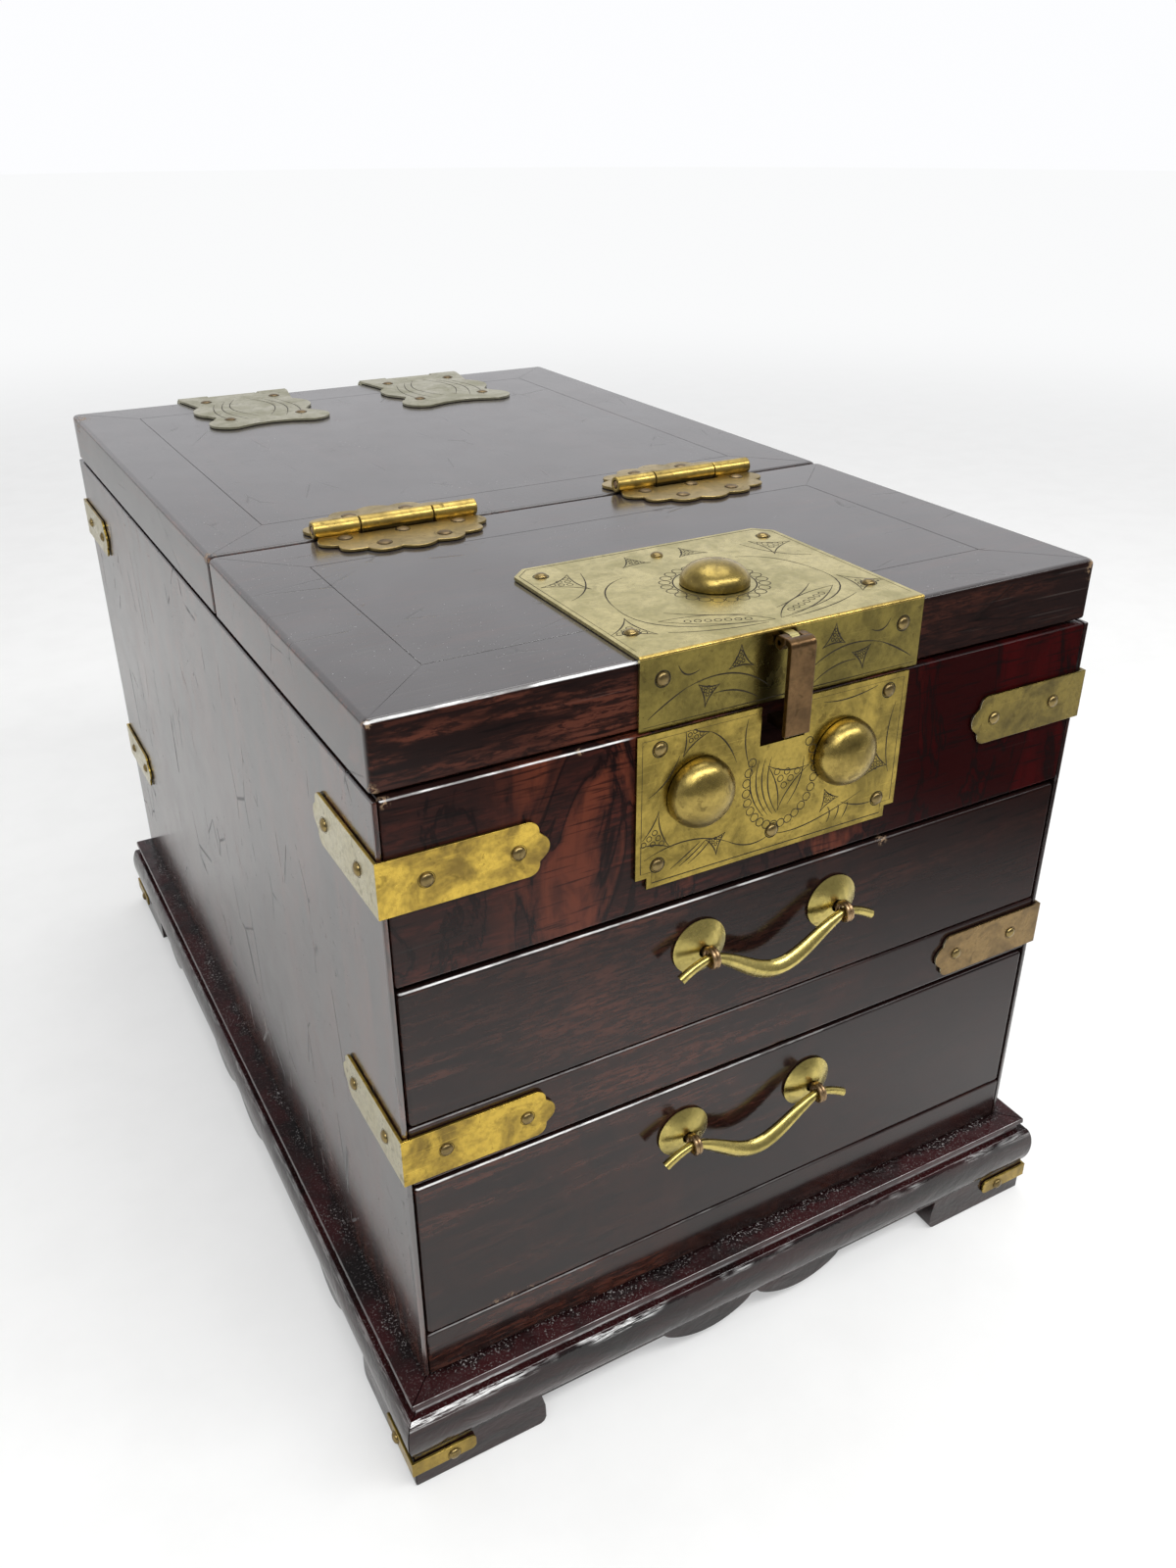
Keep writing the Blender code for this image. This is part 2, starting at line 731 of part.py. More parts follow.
def lid_frame(front, rear, through_border):
    """A lid half's frame: a rebate for the flush panel, then a ledge and the opening below it."""
    top_half = LID_HALF - LID_BORDER
    ledge = LID_BORDER + LID_LEDGE
    rebate = LID_TOP - LID_PANEL_THICKNESS - FIT
    loops = [
        (LID_HALF, front, rear, LID_BOTTOM),
        (LID_HALF, front, rear, LID_TOP),
        (top_half, front + LID_BORDER, rear - LID_BORDER, LID_TOP),
        (top_half, front + LID_BORDER, rear - LID_BORDER, rebate),
        (LID_HALF - ledge, front + ledge, rear - ledge, rebate),
    ]
    if through_border > ledge:
        seat = rebate - MIRROR_THICKNESS - FIT
        loops.append((LID_HALF - ledge, front + ledge, rear - ledge, seat))
        loops.append((LID_HALF - through_border, front + through_border, rear - through_border, seat))
    inner = (LID_HALF - through_border, front + through_border, rear - through_border, LID_BOTTOM)
    loops.append(inner)
    return stepped_frame(loops)


def lid_panel(front, rear):
    edge = LID_BORDER + FIT
    half = LID_HALF - edge
    return box((-half, half), (front + edge, rear - edge), (LID_TOP - LID_PANEL_THICKNESS, LID_TOP))


def add_lid(assembly):
    ledge = LID_BORDER + LID_LEDGE
    rear_front = SPLIT_Y + LID_SPLIT / 2
    front_rear = SPLIT_Y - LID_SPLIT / 2
    rear_frame = lid_frame(rear_front, LID_REAR, ledge + MIRROR_LIP)
    assembly.add("rear_lid_frame", "rear_lid", "lacquered_wood", rear_frame)
    assembly.add("rear_lid_panel", "rear_lid", "lacquered_wood", lid_panel(rear_front, LID_REAR))
    edge = ledge + FIT
    mirror_top = LID_TOP - LID_PANEL_THICKNESS - FIT
    mirror = box(
        (edge - LID_HALF, LID_HALF - edge),
        (rear_front + edge, LID_REAR - edge),
        (mirror_top - MIRROR_THICKNESS, mirror_top),
    )
    assembly.add("mirror", "rear_lid", "mirror_glass", mirror)
    front_frame = lid_frame(LID_FRONT, front_rear, ledge)
    assembly.add("front_lid_frame", "front_lid", "lacquered_wood", front_frame)
    assembly.add("front_lid_panel", "front_lid", "lacquered_wood", lid_panel(LID_FRONT, front_rear))


# Hinges

def knuckle(start, end, axis_point):
    """One tube of a hinge barrel between two X values."""
    hole = PIN_RADIUS + PIN_CLEARANCE
    length = end - start
    section = [(hole, 0), (BARREL_RADIUS, 0), (BARREL_RADIUS, length), (hole, length)]
    return hollow_turned(section, BARREL_STEPS, (start, axis_point.y, axis_point.z), (1, 0, 0))


def hinge_pin(length, middle, axis_point):
    profile = [(PIN_RADIUS, 0), (PIN_RADIUS, length)]
    return turned(profile, BARREL_STEPS, (middle - length / 2, axis_point.y, axis_point.z), (1, 0, 0))


def barrel_spans(length, centre):
    """X spans of the centre knuckle and of the two outer ones, about the hinge's own middle."""
    inner = centre / 2
    outer = length / 2
    return [(-inner, inner)], [(-outer, -inner - FIT), (inner + FIT, outer)]


def scalloped_leaf():
    """Outline of a lid hinge leaf from the split: half an oval edged with scallops, as (along, away)."""
    half = MID_HINGE_LENGTH / 2
    lobes = 7
    steps = 4
    points = []
    for i in range(lobes * steps + 1):
        share = i / (lobes * steps)
        angle = math.pi * share
        swell = 0.9 + 0.1 * abs(math.sin(lobes * math.pi * share))
        along = half * 1.04 * swell * math.cos(angle)
        away = MID_LEAF_DEPTH * swell * math.sin(angle) ** 0.75
        points.append((along, away))
    return points


def mid_leaf(middle, away_sign, spans, other_spans):
    """A leaf lying on the lid, with its own knuckles and with room for the other leaf's."""
    low = LID_TOP + FIT
    high = low + SHEET
    split = SPLIT_Y + away_sign * LEAF_RELIEF
    outline = [(middle + along, split + away_sign * away) for along, away in scalloped_leaf()]
    plate = prism(outline, "Z", low, high)
    room = BARREL_RADIUS + LEAF_RELIEF
    gaps = []
    for start, end in other_spans:
        ends = (middle + start - LEAF_RELIEF, middle + end + LEAF_RELIEF)
        gaps.append(box(ends, (SPLIT_Y - room, SPLIT_Y + room), (low - SHEET, high + SHEET)))
    additions = [knuckle(middle + start, middle + end, MID_AXIS) for start, end in spans]
    inner_row = SPLIT_Y + away_sign * MID_LEAF_DEPTH * 0.26
    outer_row = SPLIT_Y + away_sign * MID_LEAF_DEPTH * 0.70
    places = [(share * MID_HINGE_LENGTH, inner_row) for share in (-0.345, 0, 0.345)]
    places.extend((share * MID_HINGE_LENGTH, outer_row) for share in (-0.18, 0.18))
    additions.extend(nail((middle + x, y, high), (0, 0, 1)) for x, y in places)
    return joined(cut(plate, gaps), additions)


def rear_lid_leaf(middle, spans, other_spans):
    """A winged plate on the rear lid that wraps back to the barrel behind it."""
    low = LID_TOP + FIT
    high = low + SHEET
    half = REAR_LEAF_WIDTH / 2
    front = LID_REAR - REAR_LEAF_DEPTH
    waist = front + REAR_LEAF_DEPTH * 0.33
    notch = REAR_LEAF_WIDTH * 0.12
    lobe_radius = REAR_LEAF_DEPTH * 0.14
    edge = [(0, front + notch * 0.7)]
    edge.extend(arc((half - lobe_radius, front + lobe_radius), lobe_radius, -90, 50, 6))
    edge.append((half - notch, waist))
    wing = (LID_REAR - waist) * 0.62
    edge.extend(arc((half - wing / 2, waist + wing / 2), wing / 2, -40, 50, 4))
    edge.append((REAR_HINGE_LENGTH / 2, LID_REAR - FIT))
    edge.append((REAR_HINGE_LENGTH / 2, REAR_AXIS.y))
    edge.append((0, REAR_AXIS.y))
    outline = [(middle + x, y) for x, y in both_sides(edge)]
    plate = prism(outline, "Z", low, high)
    gaps = []
    for start, end in other_spans:
        ends = (middle + start - LEAF_RELIEF, middle + end + LEAF_RELIEF)
        room = (REAR_AXIS.y - BARREL_RADIUS - LEAF_RELIEF, REAR_AXIS.y + BARREL_RADIUS)
        gaps.append(box(ends, room, (low - SHEET, high + SHEET)))
    additions = [knuckle(middle + start, middle + end, REAR_AXIS) for start, end in spans]
    column = REAR_LEAF_WIDTH * 0.30
    rows = (LID_REAR - REAR_LEAF_DEPTH * 0.16, front + REAR_LEAF_DEPTH * 0.23)
    for y in rows:
        additions.extend(nail((middle + side * column, y, high), (0, 0, 1)) for side in (-1, 1))
    return joined(cut(plate, gaps), additions)


def back_leaf(middle, spans):
    """The fixed leaf on the back panel, rising on a narrow neck to the barrel behind the lid."""
    start, end = spans[0]
    neck = (end - start) / 2
    half = REAR_LEAF_WIDTH / 2
    top = CASE_TOP - LEAF_RELIEF
    low = top - BACK_LEAF_DROP
    small = BACK_LEAF_DROP * 0.3
    neck_top = REAR_AXIS.z - PIN_RADIUS - PIN_CLEARANCE - FIT
    edge = [(0, low)]
    edge.extend(arc((half - small, low + small), small, -90, 0, 4))
    edge.extend(arc((half - small, top - small), small, 0, 90, 4))
    edge.extend([(neck, top), (neck, neck_top), (0, neck_top)])
    face = CASE_DEPTH + FIT
    plate = prism([(middle + x, z) for x, z in both_sides(edge)], "Y", face, face + SHEET)
    column = REAR_LEAF_WIDTH * 0.34
    additions = [knuckle(middle + start, middle + end, REAR_AXIS)]
    for z in (top - small * 0.8, low + small * 0.8):
        additions.extend(nail((middle + side * column, face + SHEET, z), (0, 1, 0)) for side in (-1, 1))
    return joined(plate, additions)


def add_hinges(assembly):
    centre, outer = barrel_spans(MID_HINGE_LENGTH, MID_CENTRE_KNUCKLE)
    rear_centre, rear_outer = barrel_spans(REAR_HINGE_LENGTH, REAR_CENTRE_KNUCKLE)
    for side, sign in (("left", -1), ("right", 1)):
        middle = sign * (SIDE_X - MID_HINGE_INSET)
        front = mid_leaf(middle, -1, outer, centre)
        rear = mid_leaf(middle, 1, centre, outer)
        pin = hinge_pin(MID_HINGE_LENGTH, middle, MID_AXIS)
        assembly.add(f"{side}_lid_hinge_front_leaf", "front_lid", "aged_brass", front)
        assembly.add(f"{side}_lid_hinge_rear_leaf", "rear_lid", "aged_brass", rear)
        assembly.add(f"{side}_lid_hinge_pin", "rear_lid", "bright_brass", pin)
        middle = sign * (SIDE_X - REAR_HINGE_INSET)
        lid_leaf = rear_lid_leaf(middle, rear_outer, rear_centre)
        case_leaf = back_leaf(middle, rear_centre)
        pin = hinge_pin(REAR_HINGE_LENGTH, middle, REAR_AXIS)
        assembly.add(f"{side}_rear_hinge_lid_leaf", "rear_lid", "dull_brass", lid_leaf)
        assembly.add(f"{side}_rear_hinge_case_leaf", "case", "dull_brass", case_leaf)
        assembly.add(f"{side}_rear_hinge_pin", "rear_lid", "dull_brass", pin)


# Lock

def lower_lock_plate():
    half = PLATE_WIDTH / 2
    left = PLATE_SHIFT - half
    right = PLATE_SHIFT + half
    slot = SLOT_WIDTH / 2
    slot_foot = CASE_TOP - SLOT_DEPTH
    top = CASE_TOP
    low = CASE_TOP - LOWER_PLATE_HEIGHT
    step = low + PLATE_NOTCH
    outline = [
        (left + PLATE_NOTCH, low),
        (right - PLATE_NOTCH, low),
        (right - PLATE_NOTCH, step),
        (right, step),
        (right, top),
        (slot, top),
        (slot, slot_foot),
        (-slot, slot_foot),
        (-slot, top),
        (left, top),
        (left, step),
        (left + PLATE_NOTCH, step),
    ]
    face = -FIT - SHEET
    plate = prism(outline, "Y", face, -FIT)
    heads = [nail((PLATE_SHIFT, face, low + PLATE_NAIL_INSET), (0, -1, 0))]
    for x in (left + PLATE_NAIL_INSET, right - PLATE_NAIL_INSET):
        heads.append(nail((x, face, low + PLATE_NAIL_INSET), (0, -1, 0)))
        heads.append(nail((x, face, top - PLATE_TOP_NAIL_INSET), (0, -1, 0)))
    return joined(plate, heads)


def hasp_bearing():
    """A lug on the lid plate's front and the pin through it that carries the hasp's fork."""
    radius = HASP_EYE_RADIUS
    root = APRON_FACE + SHEET / 2
    section = [(root, HASP_AXIS.z + radius), (root, HASP_AXIS.z - radius)]
    section.extend(arc((HASP_AXIS.y, HASP_AXIS.z), radius, 270, 90, 6))
    lug = prism(section, "X", -HASP_LUG_WIDTH / 2, HASP_LUG_WIDTH / 2)
    reach = HASP_WIDTH / 2
    pin = [(HASP_PIN_RADIUS, 0), (HASP_PIN_RADIUS, 2 * reach)]
    bar = turned(pin, BARREL_STEPS, (-reach, HASP_AXIS.y, HASP_AXIS.z), (1, 0, 0))
    return joined(lug, [bar])


def lid_lock_plate():
    """Brass plate folded over the lid's front edge, with the lug for the hasp."""
    half = LID_PLATE_WIDTH / 2
    low = LID_TOP + FIT
    high = low + SHEET
    rear = LID_FRONT + LID_PLATE_DEPTH
    edge = [
        (0, APRON_FACE),
        (half, APRON_FACE),
        (half, rear - LID_PLATE_CHAMFER),
        (half - LID_PLATE_CHAMFER, rear),
        (0, rear),
    ]
    top = prism([(LID_PLATE_SHIFT + x, y) for x, y in both_sides(edge)], "Z", low, high)
    sides = (LID_PLATE_SHIFT - half, LID_PLATE_SHIFT + half)
    apron = box(sides, (APRON_FACE, LID_FRONT - FIT), (LID_BOTTOM - APRON_HANG, low + SHEET / 2))
    plate = joined(joined(top, [apron]), [hasp_bearing()])
    rear_row = rear - LID_PLATE_REAR_NAIL
    front_row = LID_FRONT + LID_PLATE_FRONT_NAIL
    heads = [nail((LID_PLATE_SHIFT, rear_row, high), (0, 0, 1))]
    for x in (sides[0] + PLATE_NAIL_INSET, sides[1] - PLATE_NAIL_INSET):
        heads.append(nail((x, rear_row, high), (0, 0, 1)))
        heads.append(nail((x, front_row, high), (0, 0, 1)))
        heads.append(nail((x, APRON_FACE, LID_TOP - APRON_NAIL_DROP), (0, -1, 0)))
    return joined(plate, heads)


def hasp():
    """A bent strap: a forked eye on the pin, an arm forward, a drop and a tongue back into the slot."""
    half = HASP_WIDTH / 2
    axis = (HASP_AXIS.y, HASP_AXIS.z)
    front = APRON_FACE - HASP_STANDOFF
    bend = HASP_THICKNESS * 1.2
    inside = front + HASP_THICKNESS
    bottom = LID_TOP - HASP_LENGTH
    under = LID_TOP - HASP_THICKNESS
    outline = arc(axis, HASP_EYE_RADIUS, -100, 90, 8)
    outline.extend(arc((front + bend, LID_TOP - bend), bend, 90, 180, 4))
    outline.extend([(front, bottom), (inside, bottom), (inside, under)])
    strap = prism(outline, "X", -half, half)
    hole = HASP_PIN_RADIUS + PIN_CLEARANCE
    bore = turned([(hole, 0), (hole, 2 * HASP_WIDTH)], BARREL_STEPS, (-HASP_WIDTH, *axis), (1, 0, 0))
    room = HASP_EYE_RADIUS + PIN_CLEARANCE
    gap = HASP_LUG_WIDTH / 2 + FIT
    fork = box((-gap, gap), (axis[0] - room, axis[0] + 2 * room), (axis[1] - 2 * room, axis[1] + 2 * room))
    tongue = box(
        (-TONGUE_WIDTH / 2, TONGUE_WIDTH / 2),
        (front + HASP_THICKNESS / 2, front + TONGUE_LENGTH),
        (bottom + FIT, bottom + FIT + TONGUE_HEIGHT),
    )
    return joined(cut(cut(strap, [bore]), [fork]), [tongue])


def add_lock(assembly):
    assembly.add("lower_lock_plate", "case", "aged_brass", lower_lock_plate())
    seat = -FIT - SHEET - FIT
    for side, sign in (("left", -1), ("right", 1)):
        centre = (DOME_SHIFT + sign * DOME_SPACING / 2, seat, CASE_TOP - LOWER_DOME_DROP)
        boss = dome(DOME_RADIUS, DOME_HEIGHT, centre, (0, -1, 0))
        assembly.add(f"{side}_lock_dome", "case", "bright_brass", boss, smooth=True)
    assembly.add("lid_lock_plate", "front_lid", "dull_brass", lid_lock_plate())
    top = (LID_DOME_SHIFT, LID_FRONT + LID_DOME_SETBACK, LID_TOP + FIT + SHEET + FIT)
    boss = dome(LID_DOME_RADIUS, LID_DOME_HEIGHT, top, (0, 0, 1))
    assembly.add("lid_dome", "front_lid", "bright_brass", boss, smooth=True)
    assembly.add("hasp", "hasp", "copper_brass", hasp())


# Drawers

def add_drawer(assembly, body, low, height):
    half = FACE_X - RUN
    front = box((-half, half), (0, DRAWER_FRONT_THICKNESS), (low + RUN, low + height - DRAWER_TOP_GAP))
    assembly.add(f"{body}_front", body, "lacquered_wood", front)
    outer = INSIDE_X - RUN
    inner = outer - DRAWER_WALL
    start = DRAWER_FRONT_THICKNESS + FIT
    end = INSIDE_BACK - DRAWER_BACK_GAP
    walls = [
        (-outer, start),
        (-inner, start),
        (-inner, end - DRAWER_WALL),
        (inner, end - DRAWER_WALL),
        (inner, start),
        (outer, start),
        (outer, end),
        (-outer, end),
    ]
    sides = prism(walls, "Z", low + RUN, low + height - DRAWER_HEADROOM)
    groove_z = low + RUN + DRAWER_GROOVE_RISE
    grip = inner + DRAWER_GROOVE
    rear = end - DRAWER_WALL + DRAWER_GROOVE
    groove = box((-grip, grip), (0, rear), (groove_z, groove_z + DRAWER_BOTTOM + 2 * FIT))
    assembly.add(f"{body}_sides", body, "drawer_wood", cut(sides, [groove]))
    bottom = box(
        (FIT - grip, grip - FIT),
        (start, rear - FIT),
        (groove_z + FIT, groove_z + FIT + DRAWER_BOTTOM),
    )
    assembly.add(f"{body}_bottom", body, "drawer_wood", bottom)


def pull_post(x, level):
    """A thin domed rosette whose rim rests on the drawer, with the shank and ring that carry the bail."""
    seat = FIT
    ring_foot = EYE_STANDOFF - EYE_RADIUS
    shank = EYE_WIRE * 1.5
    outer = []
    inner = []
    for share in (0.24, 0.56, 0.82):
        rise = seat + ROSETTE_RISE * (1 - share ** 1.7)
        outer.append((ROSETTE_RADIUS * share, rise))
        inner.insert(0, (ROSETTE_RADIUS * share, rise - ROSETTE_SHEET))
    rim = [(ROSETTE_RADIUS, seat + ROSETTE_SHEET * 0.5), (ROSETTE_RADIUS, seat)]
    rim.append((ROSETTE_RADIUS - ROSETTE_SHEET * 0.8, seat))
    profile = [(0, ring_foot), (shank, ring_foot), (shank, outer[0][1])]
    profile += outer + rim + inner
    profile += [(shank, inner[-1][1]), (shank, seat), (0, seat)]
    rosette = turned(profile, DOME_STEPS, (x, 0, level), (0, -1, 0))
    wire = []
    for i in range(EYE_SIDES):
        angle = math.tau * i / EYE_SIDES
        wire.append((EYE_RADIUS + EYE_WIRE * math.cos(angle), EYE_WIRE * math.sin(angle)))
    ring = hollow_turned(wire, EYE_STEPS, (x, -EYE_STANDOFF, level), (1, 0, 0))
    return joined(rosette, [ring])


def bail(middle, level):
    """A bow that hangs from the two eyes, thick in the middle, with tails bent down outside them."""
    half = EYE_SPACING / 2
    points = []
    radii = []
    for i in range(BAIL_STEPS + 1):
        share = 2 * i / BAIL_STEPS - 1
        wave = (1 + math.cos(math.pi * share)) / 2
        sag = BAIL_SAG * (0.65 * wave + 0.35 * (1 - share ** 2))
        points.append(Vector((middle + half * share, -EYE_STANDOFF, level - sag)))
        swell = math.cos(math.pi / 2 * share) ** 0.9 if abs(share) < 1 else 0
        radii.append(BAIL_EYE_RADIUS + (BAIL_MIDDLE_RADIUS - BAIL_EYE_RADIUS) * swell)
    tail_steps = 4
    for i in range(1, tail_steps + 1):
        share = i / tail_steps
        reach = half + BAIL_TAIL * share
        drop = BAIL_TAIL_DROP * share ** 1.6
        radius = BAIL_EYE_RADIUS * (1 + 0.25 * share)
        points.insert(0, Vector((middle - reach, -EYE_STANDOFF, level - drop)))
        points.append(Vector((middle + reach, -EYE_STANDOFF, level - drop)))
        radii.insert(0, radius)
        radii.append(radius)
    return swept(points, radii, BAIL_SIDES)


def add_pull(assembly, drawer, body, place):
    for side, sign in (("left", -1), ("right", 1)):
        post = pull_post(place.x + sign * EYE_SPACING / 2, place.z)
        assembly.add(f"{body}_{side}_post", drawer, "bright_brass", post, smooth=True)
    assembly.add(f"{body}_bail", body, "bright_brass", bail(place.x, place.z), smooth=True)


def main():
    clear_scene()
    assembly = Assembly()
    add_case(assembly)
    add_base(assembly)
    add_brackets(assembly)
    add_lid(assembly)
    add_hinges(assembly)
    add_lock(assembly)
    add_drawer(assembly, "upper_drawer", UPPER_OPENING_Z, UPPER_OPENING_HEIGHT)
    add_drawer(assembly, "lower_drawer", LOWER_OPENING_Z, LOWER_OPENING_HEIGHT)
    add_pull(assembly, "upper_drawer", "upper_pull", UPPER_PULL)
    add_pull(assembly, "lower_drawer", "lower_pull", LOWER_PULL)


main()
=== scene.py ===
import math

import bmesh
import bpy
from mathutils import Matrix, Vector

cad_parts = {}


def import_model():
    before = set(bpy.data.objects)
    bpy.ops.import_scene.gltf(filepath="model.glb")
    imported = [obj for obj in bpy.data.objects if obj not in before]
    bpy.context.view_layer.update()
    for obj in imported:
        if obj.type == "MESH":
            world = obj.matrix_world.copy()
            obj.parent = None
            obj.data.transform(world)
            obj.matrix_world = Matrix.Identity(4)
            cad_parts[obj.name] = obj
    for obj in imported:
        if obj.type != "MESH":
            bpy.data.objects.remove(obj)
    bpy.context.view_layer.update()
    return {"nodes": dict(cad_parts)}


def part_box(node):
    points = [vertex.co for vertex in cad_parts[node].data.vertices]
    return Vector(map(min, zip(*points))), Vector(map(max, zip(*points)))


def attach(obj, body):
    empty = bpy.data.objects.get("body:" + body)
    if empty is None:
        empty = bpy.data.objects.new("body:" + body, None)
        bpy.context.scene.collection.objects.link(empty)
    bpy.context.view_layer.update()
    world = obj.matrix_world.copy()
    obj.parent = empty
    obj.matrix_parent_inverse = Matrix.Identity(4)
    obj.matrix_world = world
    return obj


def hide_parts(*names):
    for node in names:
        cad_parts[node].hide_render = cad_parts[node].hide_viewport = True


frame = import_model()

NODES = frame["nodes"]
RIGHT, BEHIND, AHEAD, UP = (1, 0, 0), (0, 1, 0), (0, -1, 0), (0, 0, 1)
SIDES = (("left", -1), ("right", 1))

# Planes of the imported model, in metres
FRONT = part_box("top_rail")[0].y
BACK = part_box("back_panel")[1].y
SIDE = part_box("right_side_panel")[1].x
BASE_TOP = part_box("base_front")[1].z
CASE_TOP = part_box("top_rail")[1].z
LID_LOW, LID_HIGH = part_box("front_lid_frame")
REAR_LOW, REAR_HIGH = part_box("rear_lid_frame")
LID_TOP = LID_HIGH.z
LID_FRONT = LID_LOW.y
LID_REAR = REAR_HIGH.y
LID_HALF = LID_HIGH.x
SPLIT = (LID_HIGH.y + REAR_LOW.y) / 2
FIT = 0.0003
SHEET = 0.001
LEAF_LOW = LID_TOP + FIT
LEAF_TOP = LEAF_LOW + SHEET

# Nails as radius, height and radius of the ring round them
NAIL = (0.0021, 0.0012, 0.0024)
FLAT_NAIL = (0.0024, 0.0008, 0.0026)
NAIL_ROOT = 0.0004
RING_WIDTH = 0.0004


# Shapes

def circle(radius, steps, centre=(0, 0)):
    """A closed circle; its last point repeats the first."""
    turns = [math.tau * (i % steps) / steps for i in range(steps + 1)]
    return [(centre[0] + radius * math.cos(t), centre[1] + radius * math.sin(t)) for t in turns]


def arc(centre, radius, start, end, steps):
    points = []
    for i in range(steps + 1):
        a = math.radians(start + (end - start) * i / steps)
        points.append((centre[0] + radius * math.cos(a), centre[1] + radius * math.sin(a)))
    return points


def quarter(steps):
    return [math.pi / 2 * i / steps for i in range(steps + 1)]


def both_sides(half):
    return half + [(-a, b) for a, b in reversed(half) if a > 1e-9]


class Shape:
    """A mesh in the making; each call adds a part with its own material number."""

    def __init__(self):
        self.bm = bmesh.new()

    def ring(self, points):
        return [self.bm.verts.new(p) for p in points]

    def face(self, verts, mat=0):
        self.bm.faces.new(verts).material_index = mat

    def bridge(self, a, b, mat):
        count = max(len(a), len(b))
        for i in range(count):
            j = (i + 1) % count
            corners = [a[i % len(a)], a[j % len(a)], b[j % len(b)], b[i % len(b)]]
            self.face(list(dict.fromkeys(corners)), mat)

    def loft(self, rings, mat=0, loop=False):
        """Join rings of points and close the ends, or join the last ring to the first."""
        rings = [self.ring(r) for r in rings]
        for a, b in zip(rings, rings[1:]):
            self.bridge(a, b, mat)
        if loop:
            self.bridge(rings[-1], rings[0], mat)
            return self
        for end in (rings[0], rings[-1]):
            if len(end) > 2:
                self.face(end, mat)
        return self

    def prism(self, outline, axis, low, high, mat=0):
        order = {"X": (2, 0, 1), "Y": (0, 2, 1), "Z": (0, 1, 2)}[axis]
        return self.loft([[[(a, b, c)[i] for i in order] for a, b in outline] for c in (low, high)], mat)

    def box(self, x, y, z, mat=0):
        return self.prism([(x[0], y[0]), (x[1], y[0]), (x[1], y[1]), (x[0], y[1])], "Z", *z, mat)

    def turned(self, profile, steps, centre, direction, mat=0, loop=False):
        """Turn a profile of (radius, height) round an axis."""
        turn = Vector(UP).rotation_difference(Vector(direction)).to_matrix()
        rings = []
        for radius, height in profile:
            around = circle(radius, steps)[:-1] if radius > 0 else [(0, 0)]
            rings.append([Vector(centre) + turn @ Vector((a, b, height)) for a, b in around])
        return self.loft(rings, mat, loop)

    def rod(self, start, length, radius, steps, mat=0):
        """A pin along X with softened ends."""
        e = 0.0002
        profile = [(0, 0), (radius - e, 0), (radius, e)]
        profile += [(radius, length - e), (radius - e, length), (0, length)]
        self.turned(profile, steps, start, RIGHT, mat)

    def nail(self, point, direction, kind=NAIL):
        radius, height = kind[:2]
        profile = [(radius * math.sin(a), height * math.cos(a) ** 0.9) for a in quarter(5)[1:]]
        profile = [(0, height)] + profile + [(radius, -NAIL_ROOT), (0, -NAIL_ROOT)]
        self.turned(profile, 18, point, direction, 1)

    def stud(self, point, direction, kind=NAIL):
        """A nail with a dark ring round its head."""
        self.nail(point, direction, kind)
        axis = Vector(direction)
        side = axis.orthogonal().normalized()
        other = axis.cross(side)
        ring = [Vector(point) + side * a + other * b for a, b in circle(kind[2], 24)]
        self.line(ring, direction, RING_WIDTH)

    def line(self, points, normal, width, rise=0.00006, mat=2):
        """A cut line on a surface: a flat dark thread that follows points lying on it."""
        points = [Vector(p) for p in points]
        normal = Vector(normal)
        loop = (points[0] - points[-1]).length < 1e-7
        if loop:
            points = points[:-1]
        rings = []
        last = len(points) - 1
        for i, p in enumerate(points):
            before = points[i - 1] if i > 0 or loop else p
            after = points[(i + 1) % len(points)] if i < last or loop else p
            across = (after - before).cross(normal).normalized()
            taper = 1.0 if loop else 0.35 + 0.65 * math.sin(math.pi * i / last)
            half = across * width / 2 * taper
            rings.append([p + half, p + normal * rise, p - half, p - normal * rise])
        self.loft(rings, mat, loop)

    def mesh(self, name):
        bmesh.ops.recalc_face_normals(self.bm, faces=self.bm.faces)
        mesh = bpy.data.meshes.new(name)
        self.bm.to_mesh(mesh)
        self.bm.free()
        return mesh


def add(name, data):
    item = bpy.data.objects.new(name, data)
    bpy.context.scene.collection.objects.link(item)
    return item


def soften(piece, width, segments=2):
    """Round a piece's sharp edges with a modifier."""
    bevel = piece.modifiers.new("edges", "BEVEL")
    bevel.width = width
    bevel.segments = segments
    bevel.limit_method = "ANGLE"
    bevel.angle_limit = math.radians(35)


def place(shape, node, ending, body, finishes, bevel=0.0, smooth=30, segments=2, stands=True):
    """Turn a shape into a piece that rides on a body and, as a rule, stands for a CAD node."""
    name = f"{node}_{ending}"
    mesh = shape.mesh(name)
    for finish in finishes.split():
        mesh.materials.append(MAT[finish])
    mesh.shade_smooth()
    mesh.set_sharp_from_angle(angle=math.radians(smooth))
    piece = add(name, mesh)
    if bevel:
        soften(piece, bevel, segments)
    level = piece.modifiers.new("level", "WEIGHTED_NORMAL")
    level.weight = 100
    level.keep_sharp = True
    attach(piece, body)
    if stands:
        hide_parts(node)


# Materials

